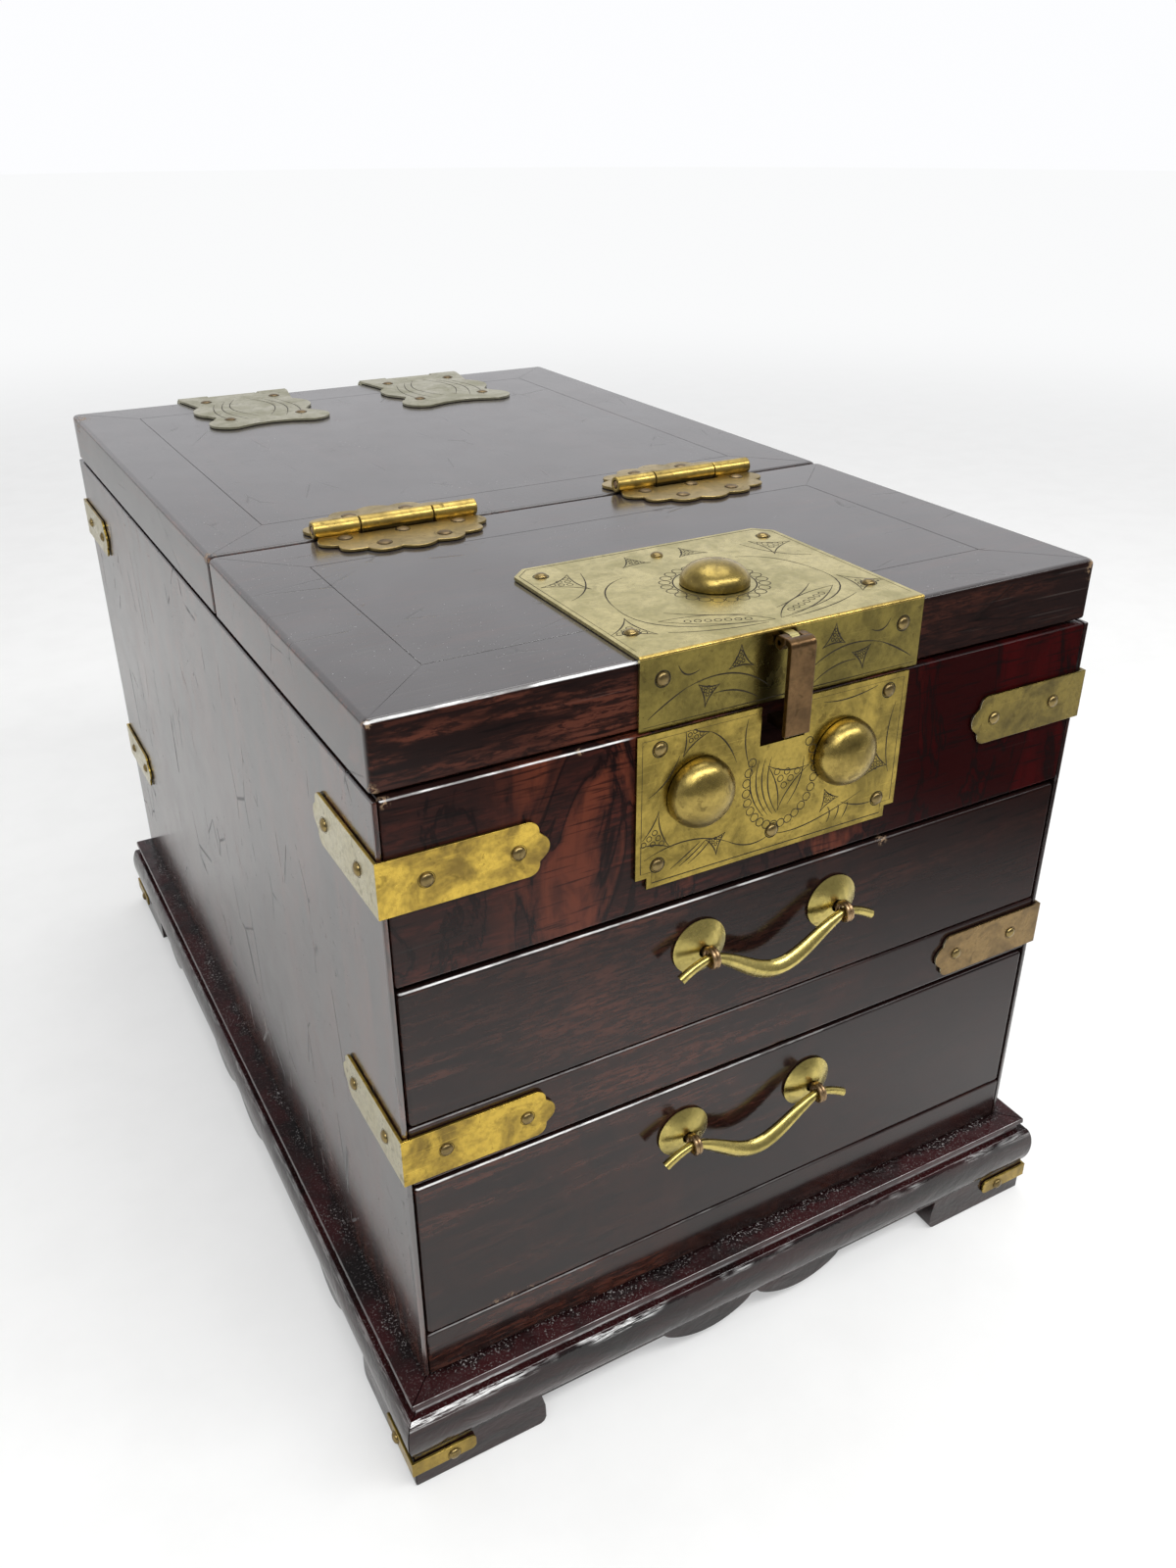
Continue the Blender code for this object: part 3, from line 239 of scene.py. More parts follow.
class Nodes:
    """Adds nodes to a tree; each helper returns a socket."""

    def __init__(self, tree, coordinates):
        self.tree = tree
        self.where = self.node("TexCoord", coordinates)

    def link(self, value, socket):
        if isinstance(value, bpy.types.NodeSocket):
            self.tree.links.new(value, socket)
        elif hasattr(value, "__len__"):
            socket.default_value = (*value, 1.0) if len(socket.default_value) == 4 else value
        else:
            socket.default_value = value

    def node(self, kind, output, inputs=None, **settings):
        node = self.tree.nodes.new("ShaderNode" + kind)
        for name, value in settings.items():
            setattr(node, name, value)
        for key, value in (inputs or {}).items():
            self.link(value, node.inputs[key])
        return node.outputs[output]

    def fade(self, value, low, high, start=0.0, end=1.0):
        inputs = {"Value": value, "From Min": low, "From Max": high, "To Min": start, "To Max": end}
        return self.node("MapRange", "Result", inputs, interpolation_type="SMOOTHSTEP")

    def drop(self, value, low, high):
        return self.fade(value, low, high, 1.0, 0.0)

    def band(self, value, low, full, still, high):
        """One between two middle values, fading to nothing beyond them."""
        return self.times(self.fade(value, low, full), self.drop(value, still, high))

    def math(self, operation, a, b=0.0):
        return self.node("Math", "Value", {0: a, 1: b}, operation=operation)

    def times(self, *values):
        result = values[0]
        for value in values[1:]:
            result = self.math("MULTIPLY", result, value)
        return result

    def plus(self, a, b):
        return self.math("ADD", a, b)

    def mix(self, share, a, b):
        return self.node("Mix", 2, {"Factor": share, 6: a, 7: b}, data_type="RGBA")

    def mix_shader(self, share, a, b):
        return self.node("MixShader", "Shader", {"Fac": share, 1: a, 2: b})

    def axis(self, name):
        return self.node("SeparateXYZ", name, {"Vector": self.where})

    def ray(self, kind):
        return self.node("LightPath", f"Is {kind} Ray")


class Material(Nodes):
    """A procedural material in the object's own metres, built up in colour, gloss and height."""

    def __init__(self, name):
        self.material = bpy.data.materials.new(name)
        self.material.use_nodes = True
        super().__init__(self.material.node_tree, "Object")
        self.shader = self.tree.nodes["Principled BSDF"]

    def set(self, **values):
        for name, value in values.items():
            self.link(value, self.shader.inputs[name.replace("_", " ")])
        return self

    def lay(self, share, tint=None, dull=0.0, rise=0.0):
        """Lay a mark or film over the surface: its tint, how it dulls the gloss and how it stands up."""
        if tint:
            self.colour = self.mix(share, self.colour, tint)
        if dull:
            self.gloss = self.plus(self.gloss, self.times(share, dull))
        if rise:
            self.height = self.plus(self.height, self.times(share, rise))

    def finish(self, depth, strength, **values):
        bump = {"Strength": strength, "Distance": depth, "Height": self.height}
        normal = self.node("Bump", "Normal", bump)
        return self.set(Base_Color=self.colour, Roughness=self.gloss, Normal=normal, **values)

    def at(self, scale, turn, shift):
        scale = scale if hasattr(scale, "__len__") else (scale,) * 3
        turn = [math.radians(a) for a in turn]
        inputs = {"Vector": self.where, "Scale": scale, "Rotation": turn, "Location": shift}
        return self.node("Mapping", "Vector", inputs)

    def noise(self, scale, detail=4.0, rough=0.55, bend=0.0, turn=(0, 0, 0), shift=(0, 0, 0)):
        inputs = {"Vector": self.at(scale, turn, shift), "Scale": 1.0, "Detail": detail, "Roughness": rough}
        return self.node("TexNoise", "Fac", {**inputs, "Distortion": bend})

    def cells(self, scale, turn, jitter):
        inputs = {"Vector": self.at(scale, turn, (0, 0, 0)), "Scale": 1.0, "Randomness": jitter}
        return self.node("TexVoronoi", "Distance", inputs, feature="DISTANCE_TO_EDGE")

    def facing(self, name):
        """One component of the surface normal."""
        return self.node("SeparateXYZ", name, {"Vector": self.node("NewGeometry", "Normal")})

    def grazing(self):
        """Grows from nothing, seen square on, to one along the surface."""
        return self.node("LayerWeight", "Facing", {"Blend": 0.5})

    def near(self, point, low, high):
        """One at a point, fading to nothing between two distances from it."""
        distance = self.node("VectorMath", "Value", {0: self.where, 1: point}, operation="DISTANCE")
        return self.drop(distance, low, high)


# Colours
DARK = (0.0105, 0.0055, 0.0050)
RAIL_DARK = (0.014, 0.0065, 0.0058)
BROWN = (0.075, 0.024, 0.015)
RED = (0.110, 0.024, 0.015)
NEAR_BLACK = (0.004, 0.003, 0.003)
DUST = (0.42, 0.42, 0.43)
GRIME = (0.045, 0.030, 0.012)
# Pale colour for brass faces turned to the side: painted sheen
PAINTED_SIDE_SHEEN = (0.50, 0.46, 0.31)


def stretched(axis, across, along):
    return tuple(along if name == axis else across for name in "XYZ")


def flame_figure(m, flame):
    """Brown flames in the wood on the left, and plain deep red on the right."""
    patch = m.noise((44, 44, 17), 5, 0.60, 0.7, turn=(0, 14, 0))
    licks = m.noise((150, 150, 40), 4, 0.6, 0.6, turn=(0, 10, 0))
    past_bracket = m.fade(m.axis("X"), -0.098, -0.074, 0.05, 1.0)
    figure = m.times(m.fade(patch, 0.47, 0.58), m.fade(licks, 0.36, 0.60, 0.40, 1.0), flame, past_bracket)
    beside = m.fade(m.axis("X"), 0.02, 0.06)
    m.lay(m.times(beside, flame), (0.015, 0.0018, 0.0020))
    m.lay(figure, m.mix(beside, (0.106, 0.027, 0.014), (0.031, 0.0024, 0.0026)))
    m.lay(m.times(m.band(patch, 0.450, 0.472, 0.480, 0.505), 0.9 * flame), (0.006, 0.003, 0.003))


def wear(m, grain, crack):
    """Hairline cracks along the grain, fine pale scratches and shallow scuffs."""
    lines = m.cells(stretched(grain, 46, 15), (0, 0, 3), 0.95)
    hair = m.times(m.drop(lines, 0.0, 0.016), m.fade(m.noise(34, 3, 0.6), 0.52, 0.62), crack)
    m.lay(hair, NEAR_BLACK, 0.4, -0.8)
    scratch = m.noise((16, 900, 900), 2, 0.6, turn=(0, 35, 62))
    fine = m.times(m.fade(scratch, 0.63, 0.72), m.fade(m.noise(30, 2), 0.46, 0.62), 0.35 * crack)
    m.lay(fine, (0.12, 0.10, 0.09), 0.4)
    scuff = m.noise((150, 430, 290), 3, 0.6, 0.8, turn=(24, 0, 38))
    where = m.fade(m.noise(24, 3, shift=(3, 1, 0)), 0.48, 0.60)
    m.lay(m.times(m.fade(scuff, 0.66, 0.72), where, crack), None, 0.12, -1.3)


def lacquer(name, grain, share, rough, dark=DARK, warm=BROWN, crack=0.0, flame=0.0, dust=0.0, chips=(),
            wavy=0.25, shine=0.5, edge_highlight=0.0, edge_highlight_end=(-0.08, 0.08), index=1.5):
    """Dark lacquer over figured wood, with fine pores, cracks, dust and chips, painted highlights on the
    edges and painted shade on the fronts.
    """
    m = Material(name)
    streak = m.noise(stretched(grain, 150, 9), 5, 0.65, 0.5)
    cloud = m.noise(stretched(grain, 30, 12), 3, 0.5, 0.8)
    pores = m.noise(stretched(grain, 950, 60), 2, 0.5)
    strokes = m.noise(stretched(grain, 620, 130), 4, 0.7, 0.3)
    upward = m.fade(m.facing("Z"), 0.5, 0.9)
    # Fronts carry more warm figure, fading towards their right end: painted shade. Upward faces carry little
    # figure.
    front_figure_and_shade = m.fade(m.axis("X"), -0.05, 0.09, 1.25 * share, 0.25 * share)
    figure = m.times(m.fade(streak, 0.38, 0.64), m.fade(cloud, 0.34, 0.60, 0.25, 1.0))
    figure = m.times(figure, m.fade(strokes, 0.42, 0.58, 0.2, 1.7))
    m.colour = m.mix(m.times(figure, m.fade(upward, 0.0, 1.0, front_figure_and_shade, share * 0.15)), dark, warm)
    if flame:
        flame_figure(m, flame)
    m.lay(m.fade(pores, 0.56, 0.70, 0.0, 0.70), NEAR_BLACK)
    m.height = m.plus(m.times(pores, 0.10), m.times(m.noise(stretched(grain, 42, 22), 2, 0.5), wavy))
    m.gloss = m.fade(m.noise(60, 4, 0.6), 0.30, 0.75, rough * 0.92, rough * 1.12)
    if crack:
        wear(m, grain, crack)
    if dust:
        speck = m.times(m.fade(m.noise(1300, 1, 0.5), 0.74, 0.79), m.fade(m.noise(14, 2), 0.45, 0.65))
        thin = m.fade(m.noise(22, 3), 0.35, 0.8, 0.05, 0.10)
        m.lay(m.times(upward, m.plus(m.times(speck, 0.45), thin), dust), DUST, 0.4)
    for point, reach in chips:
        ragged = m.times(m.near(point, reach * 0.3, reach), m.fade(m.noise(640, 3, 0.7), 0.50, 0.56))
        m.lay(m.times(ragged, 0.8), (0.30, 0.20, 0.12))
        m.lay(ragged, None, 0.5, -0.5)
    if edge_highlight:
        # Painted highlight: near-white laid along the rounded upper front edges, broken up and strongest
        # towards the left
        arris = m.times(m.band(m.facing("Z"), 0.45, 0.6, 0.78, 0.90), m.drop(m.facing("Y"), -0.5, -0.25))
        broken = m.fade(m.noise((55, 300, 300), 4, 0.65), 0.36, 0.58, 0.25, 1.0)
        m.lay(m.times(arris, broken, m.fade(m.axis("X"), *edge_highlight_end, edge_highlight, 0.0)), (0.90, 0.90, 0.89))
    # The fronts' gloss fades out towards the upper right: painted shade in the reflections
    rightwards_up = m.plus(m.axis("Z"), m.times(m.axis("X"), 0.35))
    turned = m.fade(m.grazing(), 0.18, 0.46, 0.35, 1.0)
    front = m.fade(m.facing("Y"), -0.9, -0.5, m.fade(rightwards_up, 0.10, 0.235, 1.0, 0.015), turned)
    level = m.times(m.math("MAXIMUM", front, m.times(upward, turned)), shine)
    return m.finish(0.00035, 0.35, Specular_IOR_Level=level, IOR=index)


def brass(name, colour, patina, share, rough, pits, spots=0.35, side_sheen=None):
    """Old sheet brass: mottled tone, tarnish clouds, brown spots, fine scratches and small dents."""
    m = Material(name)
    cloud = m.noise(75, 5, 0.62, 0.6)
    fine = m.noise(620, 3, 0.6)
    spot = m.times(m.fade(m.noise(240, 3, 0.6, 0.4), 0.60, 0.70), spots)
    scratch = m.noise((40, 1400, 1400), 2, 0.6, turn=(20, 40, 28))
    m.colour = m.mix(m.times(m.fade(cloud, 0.36, 0.68), share), colour, patina)
    # Faces turned to the side get a pale colour: painted sheen
    if side_sheen:
        m.lay(m.fade(m.math("ABSOLUTE", m.facing("X")), 0.6, 0.8), side_sheen)
    m.lay(m.fade(fine, 0.40, 0.72, 0.0, 0.30), [c * 0.55 for c in patina])
    m.gloss = m.fade(cloud, 0.30, 0.75, rough * 0.8, rough * 1.3)
    m.height = m.plus(m.times(m.noise(210, 2, 0.5), 0.7), m.times(fine, pits))
    m.lay(spot, GRIME, 0.25, -0.5)
    m.lay(m.times(m.fade(scratch, 0.64, 0.74), 0.30), [min(1.0, c * 1.35) for c in colour])
    return m.finish(0.00025, 0.30, Metallic=1.0)


def plain_wood(name, colour, dark):
    """Bare planed wood with straight grain, for the drawers' insides."""
    m = Material(name)
    bands = m.noise(stretched("Y", 150, 5), 5, 0.6, 0.3)
    pores = m.noise(stretched("Y", 1100, 45), 2, 0.5)
    m.colour = m.mix(m.fade(bands, 0.35, 0.68), colour, dark)
    m.lay(m.fade(pores, 0.58, 0.72, 0.0, 0.5), [c * 0.4 for c in dark])
    m.gloss = m.fade(bands, 0.3, 0.7, 0.52, 0.68)
    m.height = m.plus(bands, m.times(pores, 0.4))
    return m.finish(0.0003, 0.4)


def base_lacquer():
    """The base: near-black red lacquer, lumpy, with painted highlights on its edges, and painted shade and
    dust in the crease.
    """
    m = Material("base_lacquer")
    x, y, z, up = m.axis("X"), m.axis("Y"), m.axis("Z"), m.facing("Z")
    cloud = m.noise(26, 3, 0.6, 0.8)
    streak = m.noise((26, 26, 240), 4, 0.6, 0.5)
    m.colour = m.mix(m.fade(streak, 0.38, 0.66), (0.006, 0.004, 0.004), (0.022, 0.007, 0.007))
    m.gloss = m.fade(cloud, 0.3, 0.7, 0.10, 0.20)
    lumps = m.noise((85, 85, 130), 3, 0.6, 0.4)
    m.height = m.plus(lumps, m.times(m.noise(420, 3, 0.6), 0.12))
    ledge = m.fade(z, BASE_TOP - 0.0060, BASE_TOP - 0.0045)
    m.lay(m.times(ledge, m.fade(cloud, 0.34, 0.58), 0.9), (0.034, 0.006, 0.007))
    # Dust on the level top, thickest against the case, and painted shade darkening the crease there
    level = m.fade(up, 0.85, 0.98)
    beside = m.math("SUBTRACT", m.math("ABSOLUTE", x), SIDE)
    from_case = m.math("MAXIMUM", beside, m.math("SUBTRACT", FRONT, y))
    from_case = m.plus(from_case, m.fade(m.noise(90, 4, 0.65), 0.35, 0.65, -0.0022, 0.0022))
    crease = m.times(level, m.drop(from_case, 0.0004, 0.0042))
    # Painted shade: the crease against the case darkened
    m.lay(m.times(crease, 0.75), NEAR_BLACK)
    in_crease = m.times(crease, m.fade(cloud, 0.40, 0.62, 0.30, 0.75))
    on_level = m.times(level, m.fade(cloud, 0.42, 0.66, 0.12, 0.36))
    grit = m.times(m.fade(m.noise(1300, 4, 0.75), 0.56, 0.66), m.plus(in_crease, on_level))
    m.lay(grit, (0.42, 0.41, 0.40), 0.4)
    # Painted highlights on the upper edge and, in split patches, on the roll's shoulder
    edge = m.times(m.fade(z, BASE_TOP - 0.0052, BASE_TOP - 0.0042), m.band(up, 0.30, 0.45, 0.90, 0.97))
    thin = m.fade(m.noise((60, 60, 200), 4, 0.6), 0.34, 0.52, 0.25, 1.0)
    towards_left = m.fade(x, -0.13, 0.03, 0.12, 0.0)
    patches = m.plus(m.noise((34, 34, 60), 3, 0.6, shift=(1.7, 0, 0)), towards_left)
    split = m.fade(m.noise((90, 90, 1300), 5, 0.75, 0.3), 0.44, 0.58)
    split = m.times(split, m.fade(x, -0.07, 0.05, 1.0, 0.35))
    shoulder = m.times(m.band(up, 0.24, 0.48, 0.90, 0.97), m.fade(patches, 0.46, 0.60), split)
    ahead = m.drop(m.facing("Y"), -0.45, -0.15)
    painted_highlight = m.math("MAXIMUM", m.times(edge, thin), shoulder)
    m.lay(m.times(painted_highlight, m.fade(ahead, 0.0, 1.0, 0.16, 0.95)), (0.88, 0.88, 0.87), 0.4)
    return m.finish(0.0011, 0.4, Specular_IOR_Level=m.fade(up, 0.85, 0.98, 0.48, 0.22))


def mirror_glass():
    """Silvered glass, clear in the middle and a little clouded and spotted towards its edge."""
    m = Material("mirror_glass")
    low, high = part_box("mirror")
    sides = []
    for i, name in enumerate("XY"):
        off = m.math("ABSOLUTE", m.math("SUBTRACT", m.axis(name), (low[i] + high[i]) / 2))
        sides.append(m.math("SUBTRACT", (high[i] - low[i]) / 2, off))
    border = m.drop(m.math("MINIMUM", *sides), 0.0, 0.018)
    spots = m.times(border, m.fade(m.noise(190, 4, 0.65), 0.52, 0.62))
    m.set(Base_Color=m.mix(spots, (0.86, 0.88, 0.88), (0.30, 0.27, 0.22)), Metallic=1.0)
    return m.set(Roughness=m.plus(m.times(spots, 0.35), m.fade(m.noise(45, 3), 0.35, 0.7, 0.015, 0.045)))


def line_finish(name, colour, rough, level):
    """The dark of cut lines and joints, with a fine mottle."""
    m = Material(name)
    m.height = m.noise(900, 3, 0.6)
    m.colour = m.mix(m.fade(m.height, 0.35, 0.70), colour, [c * 0.6 for c in colour])
    m.gloss = m.fade(m.height, 0.3, 0.7, rough * 0.8, rough * 1.2)
    return m.finish(0.0001, 0.3, Specular_IOR_Level=level)


# Places and reaches of chipped edges
DRAWER_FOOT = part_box("lower_drawer_front")[0].z
LID_CHIPS = (
    ((-LID_HALF, LID_FRONT, LID_TOP - 0.001), 0.003),
    ((LID_HALF, LID_FRONT, LID_TOP - 0.003), 0.005),
    ((-LID_HALF, LID_FRONT, LID_LOW.z + 0.001), 0.003),
)
REAR_CHIPS = (
    ((-LID_HALF, LID_REAR - 0.012, LID_TOP), 0.008),
    ((-LID_HALF, SPLIT + 0.002, LID_TOP), 0.004),
)
RAIL_CHIPS = (
    ((-SIDE + 0.003, FRONT, CASE_TOP), 0.003),
    ((-0.066, FRONT, CASE_TOP), 0.0018),
)
DRAWER_CHIPS = (
    ((-0.099, FRONT, DRAWER_FOOT), 0.0030),
    ((-0.093, FRONT, DRAWER_FOOT), 0.0035),
    ((-0.087, FRONT, DRAWER_FOOT), 0.0025),
    ((0.045, FRONT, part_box("upper_drawer_front")[1].z), 0.003),
)

FINISHES = {
    "front_lid": lacquer("front_lid_lacquer", "X", 0.95, 0.15, crack=0.55, dust=1.0, chips=LID_CHIPS,
                         shine=0.95, edge_highlight=0.85, edge_highlight_end=(-0.05, 0.01), index=1.56),
    "rear_lid": lacquer("rear_lid_lacquer", "Y", 0.7, 0.18, crack=0.3, dust=1.0, chips=REAR_CHIPS, shine=0.95,
                        index=1.56),
    "side": lacquer("side_lacquer", "Z", 1.0, 0.20, crack=0.9, flame=0.06, wavy=0.14, shine=1.0, index=1.80),
    "top_rail": lacquer("top_rail_lacquer", "X", 0.2, 0.13, RAIL_DARK, RED, crack=0.2, flame=0.9,
                        chips=RAIL_CHIPS, shine=0.36, edge_highlight=1.0, edge_highlight_end=(-0.056, -0.049)),
    "rail": lacquer("rail_lacquer", "X", 0.6, 0.15, crack=0.2, flame=0.10, shine=0.38, edge_highlight=0.25),
    "drawer": lacquer("drawer_lacquer", "X", 0.40, 0.13, crack=0.1, flame=0.07, chips=DRAWER_CHIPS,
                      shine=0.40, edge_highlight=0.85),
    "inner": plain_wood("drawer_wood", (0.33, 0.20, 0.11), (0.20, 0.11, 0.055)),
    "base": base_lacquer(),
    "cut": line_finish("cut_line", (0.022, 0.016, 0.007), 0.60, 0.2),
    "seam": line_finish("seam_line", (0.006, 0.004, 0.004), 0.5, 0.1),
    "mirror": mirror_glass(),
}
# Colour, patina and its share, roughness, pits, spots and the pale colour painted on faces to the side as
# their sheen
BRASSES = {
    "bracket": ((0.58, 0.40, 0.072), (0.19, 0.13, 0.036), 0.95, 0.30, 0.6, 0.35, PAINTED_SIDE_SHEEN),
    "olive": ((0.185, 0.140, 0.036), (0.085, 0.065, 0.020), 0.95, 0.30, 0.6, 0.35, PAINTED_SIDE_SHEEN),
    "tan": ((0.230, 0.152, 0.064), (0.120, 0.080, 0.038), 0.95, 0.30, 0.6, 0.35, PAINTED_SIDE_SHEEN),
    "strap": ((0.40, 0.28, 0.065), (0.20, 0.14, 0.04), 0.95, 0.32, 0.6),
    "plate": ((0.34, 0.25, 0.058), (0.150, 0.112, 0.028), 0.95, 0.24, 0.3, 0.3),
    # The lid plate's top: brass made pale as its painted reflection
    "lid_plate": ((0.64, 0.55, 0.25), (0.38, 0.335, 0.14), 0.9, 0.28, 0.3, 0.15),
    "apron": ((0.18, 0.142, 0.038), (0.10, 0.080, 0.024), 0.95, 0.25, 0.3, 0.35),
    "leaf": ((0.42, 0.315, 0.125), (0.25, 0.19, 0.080), 0.9, 0.34, 0.5, 0.4),
    "dull": ((0.45, 0.43, 0.32), (0.31, 0.30, 0.21), 0.9, 0.42, 0.6, 0.3),
    "bright": ((0.39, 0.29, 0.082), (0.155, 0.115, 0.036), 0.95, 0.27, 0.7, 0.4),
    "barrel": ((0.54, 0.39, 0.105), (0.23, 0.165, 0.052), 0.95, 0.33, 0.5, 0.6),
    "pull": ((0.58, 0.47, 0.150), (0.34, 0.28, 0.090), 0.9, 0.27, 0.5, 0.3),
    "copper": ((0.150, 0.088, 0.040), (0.075, 0.045, 0.022), 0.9, 0.32, 1.0, 0.5),
    "eye": ((0.42, 0.28, 0.15), (0.22, 0.15, 0.08), 0.8, 0.30, 0.6, 0.4),
    "nail": ((0.27, 0.20, 0.080), (0.14, 0.10, 0.045), 0.9, 0.28, 0.4, 0.5),
    "brown_nail": ((0.23, 0.165, 0.085), (0.12, 0.085, 0.045), 0.9, 0.38, 0.5, 0.5),
}
FINISHES.update({key: brass(key + "_brass", *values) for key, values in BRASSES.items()})
MAT = {key: finish.material for key, finish in FINISHES.items()}


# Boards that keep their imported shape

def dress(node, finish, width, segments=1):
    """Give a packed board its material and round its edges."""
    piece = NODES[node]
    piece.data.materials.clear()
    piece.data.materials.append(MAT[finish])
    weld = piece.modifiers.new("weld", "WELD")
    weld.merge_threshold = 0.00002
    soften(piece, width, segments)


for node in ("left_side_panel", "right_side_panel", "back_panel"):
    dress(node, "side", 0.0006, 2)
for node in ("middle_rail", "bottom_rail"):
    dress(node, "rail", 0.0009, 3)
dress("tray_floor", "rail", 0.0003)
for node in ("dust_board", "bottom_board", "upper_drawer_bottom", "lower_drawer_bottom"):
    dress(node, "inner", 0.0003)
for node in ("upper_drawer_sides", "lower_drawer_sides"):
    dress(node, "inner", 0.0004)
dress("mirror", "mirror", 0.0004)
dress("base_back", "base", 0.0004)


# Lid

BORDER = 0.026
REBATE_BORDER = 0.031
MIRROR_BORDER = 0.035
PANEL = 0.010
REBATE = LID_TOP - PANEL - FIT
MIRROR_SEAT = REBATE - 0.003 - FIT
GROOVE = 0.00012
LID_ROUND = 0.0018
HAIRLINE = 0.00006


def lid_frame(half, low, high, ledges):
    """A frame with rounded outer edges; ledges are (border, height) steps of its inside."""
    corners = ((high.x, high.y, 0), (low.x, high.y, 90), (low.x, low.y, 180), (high.x, low.y, 270))

    def loop(inset, radius, z):
        points = []
        for x, y, start in corners:
            sx = -1 if x > 0 else 1
            sy = -1 if y == high.y else 1
            centre = (x + sx * (inset + radius), y + sy * (inset + radius))
            points += [(a, b, z) for a, b in arc(centre, radius, start, start + 90, 4)]
        return points

    r = LID_ROUND
    rings = [loop(r / 2 * (1 - math.sin(a)), r, low.z + r / 2 * (1 - math.cos(a))) for a in quarter(4)]
    rings += [loop(r * (1 - math.cos(a)), r, high.z - r * (1 - math.sin(a))) for a in quarter(4)]
    rings += [loop(border, 0.0002, z) for border, z in ledges]
    shape = Shape().loft(rings, 0, True)
    place(shape, half + "_frame", "wood", half, half, smooth=40)


def lid_panel(half, low, high):
    """The flush panel, drawn up to a hairline from its frame, and the border's mitres."""
    name = half + "_panel"
    gap = BORDER + HAIRLINE
    shape = Shape()
    shape.box((low.x + gap, high.x - gap), (low.y + gap, high.y - gap), (REBATE + FIT, LID_TOP))
    place(shape, name, "board", half, half, 0.0001, 40, 1)
    lines = Shape()
    joint = BORDER - HAIRLINE / 2
    corners = []
    for c, d in ((1, 1), (-1, 1), (-1, -1), (1, -1)):
        x, y = low.x if c > 0 else high.x, low.y if d > 0 else high.y
        corners.append((x + c * joint, y + d * joint))
        ends = [(x + c * s, y + d * s, LID_TOP) for s in (0.0024, 0.010, 0.018, 0.0258)]
        lines.line(ends, UP, 0.00014, 0.00003, 0)
    outline = []
    for a, b in zip(corners, corners[1:] + corners[:1]):
        for share in (0.0, 0.01, 0.5, 0.99):
            outline.append((a[0] + (b[0] - a[0]) * share, a[1] + (b[1] - a[1]) * share, LID_TOP))
    lines.line(outline + outline[:1], UP, 0.00026, 0.00003, 0)
    place(lines, name, "mitres", half, "seam", stands=False)


OPENING = [(BORDER - GROOVE, LID_TOP), (BORDER, LID_TOP - GROOVE), (BORDER, REBATE), (REBATE_BORDER, REBATE)]
SEAT = [(REBATE_BORDER, MIRROR_SEAT), (MIRROR_BORDER, MIRROR_SEAT), (MIRROR_BORDER, LID_LOW.z)]
lid_frame("front_lid", LID_LOW, LID_HIGH, OPENING + [(REBATE_BORDER, LID_LOW.z)])
lid_frame("rear_lid", REAR_LOW, REAR_HIGH, OPENING + SEAT)
lid_panel("front_lid", LID_LOW, LID_HIGH)
lid_panel("rear_lid", REAR_LOW, REAR_HIGH)


# Base

FILLET = 0.008
ROLL = 0.0115
FOOT = 0.0095
FOOT_TOP = 0.015
FOOT_LENGTH = 0.048
APRON = FOOT_TOP - 2 * FIT
BOARD = 0.010
ROLL_TURN = math.radians(66)
MITRE = 0.00022


def base_profile():
    """Section of the base as (overhang, height), with the roll and cove drawn as curves."""
    low = BASE_TOP - 0.0024
    roll_top = low - 0.0026
    points = [(-BOARD, BASE_TOP), (FILLET - 0.0006, BASE_TOP), (FILLET - 0.0002, BASE_TOP - 0.0002)]
    points += [(FILLET, BASE_TOP - 0.0008), (FILLET, low + 0.0003), (FILLET - 0.0004, low)]
    points += arc((FILLET - 0.0004, low - 0.0013), 0.0013, 90, 200, 5)[1:]
    points += [(FILLET - 0.0012, roll_top - 0.00005), (FOOT - 0.0004, roll_top)]
    middle = (roll_top + FOOT_TOP) / 2
    half = (roll_top - FOOT_TOP) / 2
    for i in range(13):
        t = ROLL_TURN * (1 - i / 6)
        bulge = (math.cos(t) - math.cos(ROLL_TURN)) / (1 - math.cos(ROLL_TURN))
        rise = half * 0.97 * math.sin(t) / math.sin(ROLL_TURN)
        points.append((FOOT + (ROLL - FOOT) * bulge, middle + rise))
    return points + [(FOOT, FOOT_TOP - 0.0002), (FOOT, 0.0005), (FOOT - 0.0005, 0), (-BOARD, 0)]


def arch(start, end, lobes):
    """Outline of the space between two feet, with the apron's lobes hanging into it."""
    side = [(0.003, -0.015), (0.003, 0), (0.0008, 0.0012), (0, 0.003), (0.0002, 0.009), (0.0015, APRON)]
    points = [(start - a, b) for a, b in side]
    for middle, width, drop in lobes:
        for i in range(25):
            share = i / 24
            points.append((middle + width * (share - 0.5), APRON - drop * math.sin(math.pi * share) ** 0.7))
    return points + [(end + a, b) for a, b in reversed(side)]


def carved(shape, cutter):
    """Cut one shape out of another."""
    board, tool = [add("board", item.mesh("board")) for item in (shape, cutter)]
    modifier = board.modifiers.new("cut", "BOOLEAN")
    modifier.operation = "DIFFERENCE"
    modifier.solver = "EXACT"
    modifier.object = tool
    evaluated = board.evaluated_get(bpy.context.evaluated_depsgraph_get())
    result = Shape()
    result.bm.from_mesh(evaluated.to_mesh())
    evaluated.to_mesh_clear()
    for item in (board, tool):
        mesh = item.data
        bpy.data.objects.remove(item, do_unlink=True)
        bpy.data.meshes.remove(mesh)
    return result


def base_board(name, near, far, cutter):
    board = Shape().loft([[end(o, z) for o, z in base_profile()] for end in (near, far)])
    place(carved(board, cutter), name, "moulding", "case", "base", smooth=32)


